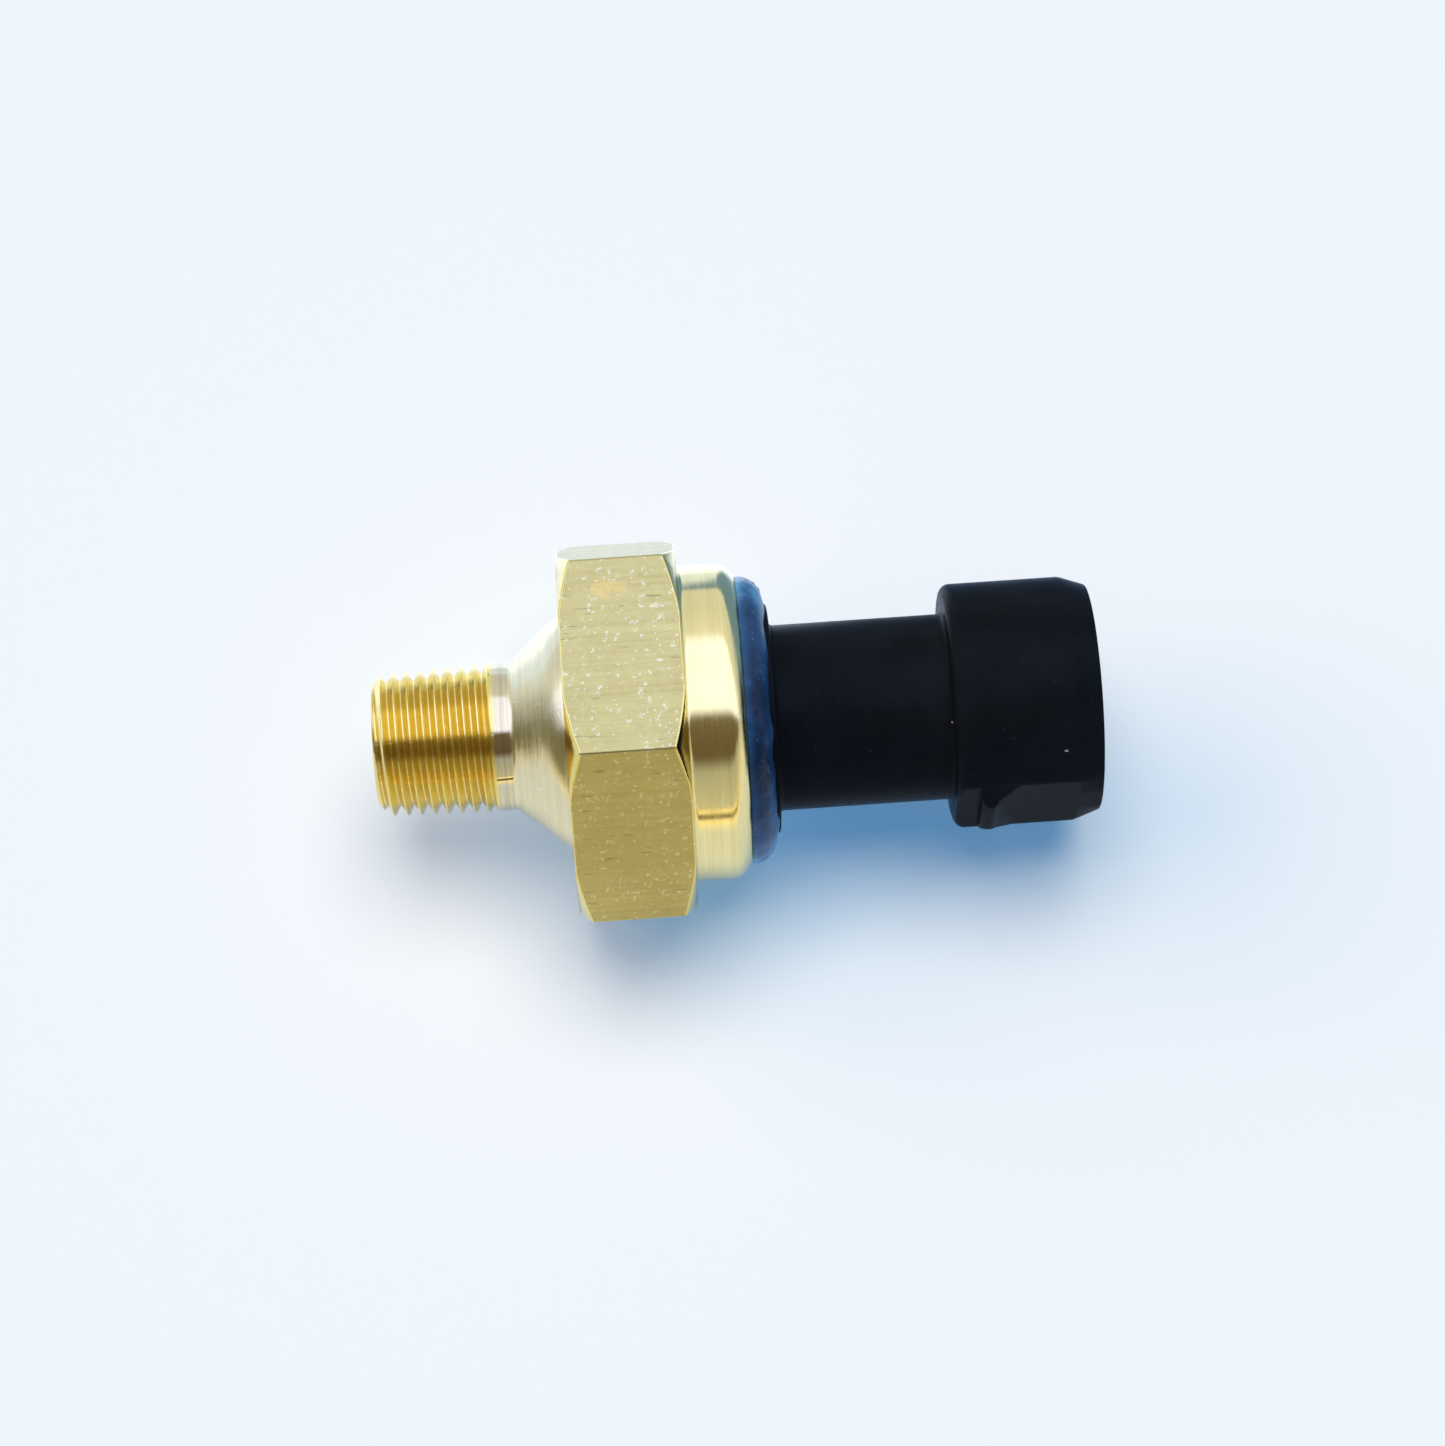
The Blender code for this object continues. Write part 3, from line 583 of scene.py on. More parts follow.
@dataclass(frozen=True)
class CuredSealant:
    """Glossy blue resin, paler where it is thinner and painted paler as its sides turn away from the camera,
    a painted rim reflection, with small bubbles under its skin.
    """

    name: str = "blue_sealant_cured"
    deep: Colour = (0.005, 0.017, 0.06)
    mid: Colour = (0.025, 0.1, 0.3)
    # Colour of the thinner resin at the bead's edges and of the painted rim reflection.
    thin_and_sheen: Colour = (0.13, 0.46, 0.88)
    roughness: float = 0.26
    most_roughness: float = 0.4
    seat_station: float = 8.2 * MM
    length: float = 1.7 * MM
    ridge_share: float = 0.42
    # The turn about the axis that faces up towards the camera, where the painted rim reflection is least.
    least_sheen_turn: float = 2.1
    bubble_cover: float = 0.25
    bump_height: float = 0.03 * MM

    def make(self, effects: Effects) -> Material:
        """Makes the material.

        Args:
            effects: The shared node groups.

        Returns:
            The finished material.
        """
        material, w, shader = blank_material(self.name)
        place = effects.put(w, Effect.PLACE)
        clouds = effects.put(w, Effect.CLOUDS, {"Scale": 420.0})
        bubbles = effects.put(w, Effect.SPECKS, {"Scale": 2100.0, "Share": 0.35})
        across = w.spread(w.parts(place["Place"])[0], self.seat_station, self.seat_station + self.length)
        ridge = w.math("ABSOLUTE", w.minus(across, self.ridge_share))
        # Painted rim reflection: the resin pales as its side turns away from the camera-facing turn; the
        # ridge term above is its real thinning towards the edges.
        least_sheen_side = w.math("COSINE", w.minus(place["Turn"], self.least_sheen_turn))
        share = w.plus(w.spread(ridge, 0.1, 0.6, 0.0, 0.5), w.spread(least_sheen_side, 0.95, 0.3, 0.0, 0.75))
        share = w.plus(share, w.between(clouds["Broad"], -0.2, 0.2))
        coats = [(w.spread(share, 0.0, 0.6), opaque(self.mid)),
                 (w.spread(share, 0.6, 1.25), opaque(self.thin_and_sheen)),
                 (w.times(bubbles["Mask"], self.bubble_cover), opaque(self.thin_and_sheen))]
        height = w.plus(clouds["Small"], w.times(bubbles["Mask"], 0.7))
        bump = w.add("Bump", {"Height": height, "Distance": self.bump_height, "Strength": 0.6})
        w.fill(shader, {
            "Base Color": w.coats(opaque(self.deep), coats),
            "Roughness": w.between(clouds["Small"], self.roughness, self.most_roughness),
            "Specular IOR Level": 0.22,
            "Specular Tint": opaque((0.6, 0.8, 1.0)),
            "Coat Weight": 0.06,
            "Coat Roughness": 0.1,
            "Normal": bump.outputs[0],
        })
        return material


class BrassZone(Enum):
    """The zones of the body, which are finished in different ways."""

    THREAD = 0
    SHANK = 1
    FLATS = 2
    CHAMFERS = 3
    COLLAR = 4
    INSIDE = 5
    RELIEF = 6


ZONE_FINISHES = {
    BrassZone.THREAD: MachinedMetal(
        "brass_thread", (0.85, 0.7, 0.25), (0.6, 0.43, 0.13), 0.17, line_contrast=0.15, tarnish_share=0.35),
    BrassZone.SHANK: MachinedMetal(
        "brass_cone", (0.8, 0.72, 0.48), (0.6, 0.54, 0.32), 0.17, line_height=0.0025 * MM,
        line_contrast=0.5, tarnish_share=0.15),
    BrassZone.FLATS: MachinedMetal(
        "brass_drawn_flats", (0.53, 0.475, 0.2), (0.41, 0.34, 0.13), 0.31, ToolPath.ALONG, line_contrast=0.45,
        scratch_share=0.25, speck_share=0.6, mark_share=0.35, scuff_place=(-0.00085, 0.0049, 0.0248)),
    BrassZone.CHAMFERS: MachinedMetal(
        "brass_chamfers", (0.8, 0.68, 0.23), (0.5, 0.36, 0.12), 0.12, line_contrast=0.1),
    BrassZone.COLLAR: MachinedMetal(
        "brass_collar", (0.87, 0.77, 0.39), (0.6, 0.47, 0.18), 0.12, line_scale=14000.0,
        line_height=0.0025 * MM, line_contrast=0.3, tarnish_share=0.12, scratch_share=0.15, speck_share=0.05),
    BrassZone.INSIDE: MachinedMetal("brass_bore", (0.7, 0.52, 0.24), (0.4, 0.28, 0.12), 0.35),
    BrassZone.RELIEF: MachinedMetal(
        "brass_polished_relief", (0.78, 0.7, 0.48), (0.3, 0.24, 0.14), 0.06, line_contrast=0.6,
        tarnish_share=0.08, line_height=0.0006 * MM, scratch_share=0.1, speck_share=0.0),
}

HIDDEN_FINISHES = {
    "body_brass": MachinedMetal("brass_turned_small", (0.87, 0.72, 0.4), (0.6, 0.44, 0.19), 0.25),
    "terminal_tin": MachinedMetal(
        "tin_plate", (0.8, 0.79, 0.75), (0.55, 0.54, 0.5), 0.24, ToolPath.ALONG, line_contrast=0.3,
        speck_share=0.08),
    "contact_silver": MachinedMetal("contact_silver_turned", (0.93, 0.91, 0.86), (0.6, 0.55, 0.45), 0.2),
    "spring_steel": MachinedMetal("steel_bright", (0.6, 0.6, 0.6), (0.35, 0.34, 0.33), 0.28),
    "arm_bronze": MachinedMetal("bronze_strip", (0.78, 0.5, 0.32), (0.5, 0.28, 0.16), 0.27, ToolPath.ALONG),
    "brown_phenolic": MouldedPlastic("phenolic_brown", (0.15, 0.06, 0.03), (0.5, 0.4, 0.3), 0.45),
    "amber_film": MouldedPlastic(
        "film_amber", (0.62, 0.27, 0.04), (0.8, 0.6, 0.3), 0.25, grain_height=0.001 * MM),
    "seal_rubber": MouldedPlastic("rubber_seal", (0.016, 0.016, 0.017), (0.25, 0.25, 0.26), 0.6),
    "grey_potting": MouldedPlastic("resin_grey", (0.08, 0.09, 0.1), (0.3, 0.31, 0.33), 0.4),
}


@dataclass(frozen=True)
class Axis:
    """The switch's own axis, which runs along +X."""

    start: float
    height: float

    def points(self, stations: np.ndarray, radii: np.ndarray, angles: np.ndarray) -> np.ndarray:
        """One row of x, y and z for each station, radius and angle."""
        across, up = radii * np.cos(angles), radii * np.sin(angles)
        return np.stack([self.start + stations, across, self.height + up], axis=-1)

    def point(self, station: float, y: float, z: float) -> Point:
        """The place that lies y and z off the axis at a station."""
        return (self.start + station, y, self.height + z)


MERGE_DISTANCE = 2e-7


@dataclass
class Skin:
    """A mesh that grows ring by ring about the axis."""

    axis: Axis
    angles: np.ndarray
    corners: list[np.ndarray] = field(default_factory=list)
    faces: list[tuple[int, ...]] = field(default_factory=list)
    zones: list[int] = field(default_factory=list)
    count: int = 0

    def strip(self, rings: list[tuple[object, object]], zone: int, whole: bool = True) -> None:
        """Adds faces between each ring and the next.

        Args:
            rings: A station and a radius for each ring, as one number each or one for each angle.
            zone: The material slot of the faces.
            whole: Whether the last angle joins to the first. An open strip has its last angle a full turn on.
        """
        across = len(self.angles)
        for station, radius in rings:
            stations = np.broadcast_to(np.asarray(station, float), (across,))
            radii = np.broadcast_to(np.asarray(radius, float), (across,))
            self.corners.append(self.axis.points(stations, radii, self.angles))
        steps = across if whole else across - 1
        for row in range(len(rings) - 1):
            low = self.count + row * across
            for i in range(steps):
                j = (i + 1) % across
                self.faces.append((low + i, low + j, low + across + j, low + across + i))
                self.zones.append(zone)
        self.count += len(rings) * across

    def object(self, name: str, sharp_degrees: float) -> Object:
        """Closes the skin into an object.

        Args:
            name: The object's name.
            sharp_degrees: The least angle between faces that shows as an edge.

        Returns:
            The object, in the scene.
        """
        mesh = bpy.data.meshes.new(name)
        mesh.from_pydata(np.concatenate(self.corners), [], self.faces)
        mesh.polygons.foreach_set("material_index", self.zones)
        shape = bmesh.new()
        shape.from_mesh(mesh)
        bmesh.ops.remove_doubles(shape, verts=shape.verts, dist=MERGE_DISTANCE)
        bmesh.ops.dissolve_degenerate(shape, dist=MERGE_DISTANCE / 2, edges=shape.edges)
        bmesh.ops.recalc_face_normals(shape, faces=shape.faces)
        shape.to_mesh(mesh)
        shape.free()
        return shown(name, mesh, sharp_degrees)


def smooth(mesh: bpy.types.Mesh, sharp_degrees: float) -> None:
    """Shades a mesh smooth, with an edge wherever its faces meet at the given angle or more."""
    mesh.polygons.foreach_set("use_smooth", [True] * len(mesh.polygons))
    mesh.set_sharp_from_angle(angle=math.radians(sharp_degrees))


def shown(name: str, mesh: bpy.types.Mesh, sharp_degrees: float) -> Object:
    """Puts a mesh in the scene, smooth between its sharp edges.

    Args:
        name: The object's name.
        mesh: The mesh.
        sharp_degrees: The least angle between faces that shows as an edge.

    Returns:
        The new object.
    """
    smooth(mesh, sharp_degrees)
    mesh.update()
    obj = bpy.data.objects.new(name, mesh)
    bpy.context.scene.collection.objects.link(obj)
    return obj


def solid(name: str, shape: bmesh.types.BMesh, sharp_degrees: float) -> Object:
    """Turns an edited mesh into an object in the scene, and frees it.

    Args:
        name: The object's name.
        shape: The edited mesh.
        sharp_degrees: The least angle between faces that shows as an edge.

    Returns:
        The new object.
    """
    mesh = bpy.data.meshes.new(name)
    shape.to_mesh(mesh)
    shape.free()
    return shown(name, mesh, sharp_degrees)


def in_metres(outline: Outline) -> list[tuple[float, float]]:
    """An outline given in millimetres, as metres."""
    return [(station * MM, radius * MM) for station, radius in outline]


def rounded(corners: list[tuple[float, float]], sizes: dict[int, float],
            steps: int) -> list[tuple[float, float]]:
    """Rounds some corners of an outline with arcs.

    Args:
        corners: Stations and radii along the outline.
        sizes: The radius of the arc at each corner that has one, by the corner's number.
        steps: How many edges each arc has.

    Returns:
        The outline with its arcs.
    """
    made = []
    for i, corner in enumerate(corners):
        if i not in sizes:
            made.append(corner)
            continue
        here, before, after = (np.array(corners[k], float) for k in (i, i - 1, (i + 1) % len(corners)))
        inward, outward = before - here, after - here
        inward, outward = inward / np.linalg.norm(inward), outward / np.linalg.norm(outward)
        half = math.acos(max(-1.0, min(1.0, float(inward @ outward)))) / 2
        middle = here + (inward + outward) / np.linalg.norm(inward + outward) * sizes[i] / math.sin(half)
        first = here + inward * sizes[i] / math.tan(half) - middle
        last = here + outward * sizes[i] / math.tan(half) - middle
        for step in range(steps + 1):
            lean = first * (1 - step / steps) + last * step / steps
            made.append(tuple(middle + lean / np.linalg.norm(lean) * sizes[i]))
    return made


def even_angles(count: int) -> np.ndarray:
    """Evenly spaced angles round a full turn."""
    return np.arange(count) * FULL_TURN / count


def smooth_step(value: np.ndarray) -> np.ndarray:
    """Eases a value from 0 to 1."""
    held = np.clip(value, 0.0, 1.0)
    return held * held * (3 - 2 * held)


@dataclass
class BrassBody:
    """The one-piece brass body, from its threaded port to its crimped collar."""

    axis: Axis
    thread_length: float = 8.4 * MM
    thread_pitch: float = 25.4 / 27 * MM
    thread_start: float = 4.97 * MM
    thread_taper: float = 1 / 32
    thread_depth: float = 0.7 * MM
    thread_flank: float = math.radians(30)
    thread_root: float = 0.06 * MM
    thread_runout: float = 0.75 * MM
    tip_radius: float = 4.26 * MM
    bore_radius: float = 1.9 * MM
    bore_end: float = 13.3 * MM
    bore_middle: float = 6.0 * MM
    bore_chamfer: float = 0.25 * MM
    shank_radius: float = 5.15 * MM
    cone: Outline = (
        (9.45, 5.15), (9.6, 5.19), (9.8, 5.36), (10.05, 5.58), (10.81, 6.19), (11.57, 6.86), (12.11, 7.36),
        (12.6, 7.74), (13.1, 8.06), (13.28, 8.14), (13.34, 8.24),
    )
    hex_start: float = 13.35 * MM
    hex_end: float = 21.55 * MM
    across_flats: float = 24.8 * MM
    corner_round: float = 0.22 * MM
    chamfer: float = 1.6 * MM
    chamfer_angle: float = math.radians(30)
    edge_round: float = 0.09 * MM
    collar_radius: float = 11.0 * MM
    collar_fillet: float = 0.35 * MM
    collar_edge: Outline = (
        (24.2, 11.0), (24.5, 10.96), (24.76, 10.83), (25.0, 10.63), (25.22, 10.41), (25.42, 10.18),
        (25.55, 9.97), (25.62, 9.72), (25.645, 9.4),
    )
    collar_end: float = 25.65 * MM
    lip_radius: float = 8.95 * MM
    cavity: Outline = (
        (24.45, 8.95), (24.45, 9.6), (22.9, 9.6), (22.9, 8.9), (14.9, 8.9), (14.9, 7.7), (13.8, 7.7),
        (13.8, 5.5), (14.9, 5.5), (14.9, 4.5), (13.3, 4.5), (13.3, 1.9),
    )

    def angles(self) -> np.ndarray:
        """Spaces angles round a full turn, close together at the hexagon's corners.

        Returns:
            The angles, in order.
        """
        half = [0.25, 0.5, 0.8, 1.3, 2.2, 3.6, 5.4, 7.5, 9.8, 12.2, 14.6, 17.0, 19.5, 22.0, 24.6, 27.3]
        sector = [-part for part in reversed(half)] + [0.0, *half, 30.0]
        spread = [math.radians(60 * k + part) for k in range(6) for part in sector]
        return np.sort(np.mod(np.array(spread), FULL_TURN))

    def hexagon(self, angles: np.ndarray) -> np.ndarray:
        """The hexagon's radius at each angle, with its corners rounded a little.

        Args:
            angles: Turns about the axis.

        Returns:
            One radius for each angle.
        """
        flat = self.across_flats / 2
        sixth = math.radians(60)
        off_corner = np.abs(np.mod(angles + sixth / 2, sixth) - sixth / 2)
        plain = flat / np.cos(sixth / 2 - off_corner)
        middle = flat / math.cos(sixth / 2) - self.corner_round / math.sin(sixth)
        half_side = flat * math.tan(sixth / 2) - self.corner_round / math.tan(sixth)
        tangent = sixth / 2 - math.atan(half_side / flat)
        under = np.clip(self.corner_round**2 - (middle * np.sin(off_corner)) ** 2, 0.0, None)
        return np.where(off_corner < tangent, middle * np.cos(off_corner) + np.sqrt(under), plain)

    def thread_radius(self, stations: np.ndarray, phase: np.ndarray) -> np.ndarray:
        """The thread's radius.

        Args:
            stations: Distances from the port's end face.
            phase: Where each point lies across the thread, from 0 in a groove to 1 in the next.

        Returns:
            One radius for each point.
        """
        run = self.thread_depth * math.tan(self.thread_flank)
        off_groove = np.minimum(phase, 1 - phase) * self.thread_pitch
        groove = np.clip(1 - (off_groove - self.thread_root / 2) / run, 0.0, 1.0)
        groove = 0.8 * groove + 0.2 * smooth_step(groove)
        left = self.thread_length - stations
        crest = self.thread_start + stations * self.thread_taper
        crest -= smooth_step(1 - left / self.thread_runout) * (crest - self.shank_radius)
        cut = crest - self.thread_depth * groove * smooth_step(left / self.thread_runout)
        return np.minimum(cut, self.tip_radius + stations)

    def add_thread(self, skin: Skin) -> None:
        """Adds the right-hand thread, whose rings follow its helix.

        Args:
            skin: The body's skin.
        """
        angles = np.append(skin.angles, FULL_TURN)
        strip = Skin(self.axis, angles)
        fine = np.array([0.0, 0.03, 0.06, 0.12, 0.2, 0.28, 0.36, 0.42, 0.455, 0.48, 0.5])
        phases = np.concatenate([fine, 1 - fine[-2:0:-1]])
        turns = math.ceil(self.thread_length / self.thread_pitch) + 1
        rings = []
        for turn in (base + part for base in range(-1, turns) for part in phases):
            stations = np.clip(self.thread_pitch * (turn + angles / FULL_TURN), 0.0, self.thread_length)
            phase = np.mod(stations / self.thread_pitch - angles / FULL_TURN + 1e-9, 1.0)
            rings.append((stations, self.thread_radius(stations, phase)))
        strip.strip(rings, BrassZone.THREAD.value, whole=False)
        skin.corners.extend(strip.corners)
        skin.faces.extend(tuple(i + skin.count for i in face) for face in strip.faces)
        skin.zones.extend(strip.zones)
        skin.count += strip.count

    def hexagon_rings(self, angles: np.ndarray) -> list[tuple[np.ndarray, np.ndarray]]:
        """The front half of the hexagon: its face, its chamfer and the rounded edge onto the flats.

        Args:
            angles: Turns about the axis.

        Returns:
            Offsets along the axis from the hexagon's face, and radii, from the face's edge outward.
        """
        outer = self.hexagon(angles)
        face_edge = self.across_flats / math.sqrt(3) - self.chamfer
        slope = math.tan(self.chamfer_angle)

        def face(radii: np.ndarray) -> np.ndarray:
            """How far back the face and chamfer lie."""
            return np.maximum(0.0, radii - face_edge) * slope

        size = self.edge_round
        inner = outer - size
        rings = [(np.zeros_like(outer), np.minimum(face_edge - size, inner))]
        rings.append((np.zeros_like(outer), np.minimum(face_edge, inner)))
        for share in (0.0, 0.3, 0.62, 1.0):
            turn = share * math.pi / 2
            radii = inner + size * math.sin(turn)
            rings.append((face(radii) + size * (1 - math.cos(turn)), radii))
        return rings

    def build(self) -> Object:
        """Builds the body's mesh.

        Returns:
            The body, in the scene.
        """
        angles = self.angles()
        skin = Skin(self.axis, angles)
        stations = (self.bore_end, self.bore_middle, self.bore_chamfer)
        bore = [(station, self.bore_radius) for station in stations]
        skin.strip(bore, BrassZone.INSIDE.value)
        rim = self.bore_radius + self.bore_chamfer
        face = [(0.0, radius) for radius in (rim, (rim + self.tip_radius) / 2, self.tip_radius)]
        skin.strip([bore[-1], *face], BrassZone.SHANK.value)
        self.add_thread(skin)
        cone = in_metres(self.cone)
        skin.strip([(self.thread_length, self.shank_radius), cone[0]], BrassZone.RELIEF.value)
        skin.strip(cone, BrassZone.SHANK.value)
        front = [(self.hex_start + back, radii) for back, radii in self.hexagon_rings(angles)]
        rear = [(self.hex_end - back, radii) for back, radii in reversed(self.hexagon_rings(angles))]
        foot = (self.hex_start, cone[-1][1] + self.edge_round)
        skin.strip([cone[-1], foot, *front], BrassZone.CHAMFERS.value)
        shares = np.linspace(0, 1, 7)[1:-1]
        middle = [(front[-1][0] * (1 - t) + rear[0][0] * t, front[-1][1]) for t in shares]
        skin.strip([front[-1], *middle, rear[0]], BrassZone.FLATS.value)
        skin.strip([*rear, (self.hex_end, self.collar_radius + self.collar_fillet)], BrassZone.CHAMFERS.value)
        skin.strip(self.collar_rings(), BrassZone.COLLAR.value)
        skin.strip([(self.collar_end, self.lip_radius), *in_metres(self.cavity)], BrassZone.INSIDE.value)
        return skin.object("brass_body", sharp_degrees=32)

    def collar_rings(self) -> list[tuple[float, float]]:
        """The collar from its fillet on the hexagon to the crimped lip's inner edge.

        Returns:
            A station and a radius for each ring.
        """
        edge = in_metres(self.collar_edge)
        corners = [
            (self.hex_end, self.collar_radius + 2 * self.collar_fillet),
            (self.hex_end, self.collar_radius),
            edge[0],
        ]
        fillet = rounded(corners, {1: self.collar_fillet}, steps=6)[1:-1]
        return [*fillet, *edge, (self.collar_end, self.lip_radius + 2 * self.edge_round),
                (self.collar_end, self.lip_radius)]

    def make(self, effects: Effects) -> Object:
        """Builds and dresses the body.

        Args:
            effects: The shared node groups.

        Returns:
            The body.
        """
        body = self.build()
        for zone in BrassZone:
            body.data.materials.append(ZONE_FINISHES[zone].make(effects))
        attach(body, BODY)
        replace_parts(body, "switch_body")
        return body


@dataclass
class SealantRing:
    """The hand-laid ring of sealant between the crimped lip and the connector's boss."""

    axis: Axis
    inner: float = 8.05 * MM
    foot: float = 25.6 * MM
    outer: float = 10.02 * MM
    height: float = 1.72 * MM
    groove_radius: float = 8.9 * MM
    groove_start: float = 24.5 * MM
    foot_overlap: float = 0.06 * MM
    edge_inset: float = 0.1 * MM
    unevenness: float = 0.13 * MM
    top_share: float = 1.6
    edge_waves: int = 26
    top_waves: int = 22
    sag: float = 0.05
    facets: int = 300
    dome_steps: int = 25
    bubble_count: int = 46
    seed: int = 7

    def waves(self, angles: np.ndarray, rng: np.random.Generator, highest: int) -> np.ndarray:
        """A smooth random outline that closes on itself.

        Args:
            angles: Turns about the axis.
            rng: Where the random numbers come from.
            highest: The most waves round the ring.

        Returns:
            One value for each angle, mostly from -1 to 1.
        """
        total = np.zeros_like(angles)
        for k in range(2, highest):
            total += rng.normal() / math.sqrt(k) * np.cos(k * angles + rng.uniform(0, FULL_TURN))
        return total / np.abs(total).max()

    def build(self) -> Object:
        """Builds the ring's mesh.

        Returns:
            The ring, in the scene.
        """
        rng = np.random.default_rng(self.seed)
        angles = even_angles(self.facets)
        edge = self.outer + self.unevenness * self.waves(angles, rng, self.edge_waves)
        top = self.height + self.unevenness * self.top_share * self.waves(angles, rng, self.top_waves)
        sag = self.waves(angles, rng, self.top_waves)
        shares = np.linspace(0, 1, self.dome_steps + 1)
        dome = np.array([[math.sin(t * math.pi / 2), math.cos(t * math.pi / 2)] for t in shares])
        lift = np.zeros((len(shares), len(angles)))
        for _ in range(self.bubble_count):
            turn, across = rng.uniform(0, FULL_TURN), rng.normal(0.5, 0.14)
            size = rng.uniform(0.1, 0.26) * MM
            off_turn = (np.mod(angles - turn + math.pi, FULL_TURN) - math.pi) * 9 * MM
            off_across = (shares - across) * 2.6 * MM
            far = (off_turn[None, :] ** 2 + off_across[:, None] ** 2) / size**2
            lift += size * 0.5 * np.exp(-far * 1.6) * rng.choice([-0.7, 1.0])
        rings = []
        for row, (up, out) in enumerate(dome):
            swell = 1 + self.sag * sag * math.sin(shares[row] * math.pi)
            radii = self.inner + (edge - self.inner) * out * swell + lift[row] * out
            stations = self.foot + top * up * swell + lift[row] * up
            rings.append((stations, radii))
        bottom = self.foot - self.foot_overlap
        hidden = [(self.groove_start, self.inner), (self.groove_start, self.groove_radius),
                  (bottom, self.groove_radius), (bottom, edge - self.edge_inset)]
        skin = Skin(self.axis, angles)
        skin.strip([*hidden, *rings, hidden[0]], 0)
        return skin.object("sealant_ring", sharp_degrees=70)

    def make(self, effects: Effects) -> Object:
        """Builds and dresses the ring.

        Args:
            effects: The shared node groups.

        Returns:
            The ring.
        """
        ring = self.build()
        ring.data.materials.append(CuredSealant().make(effects))
        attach(ring, BODY)
        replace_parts(ring, "sealant_bead")
        return ring


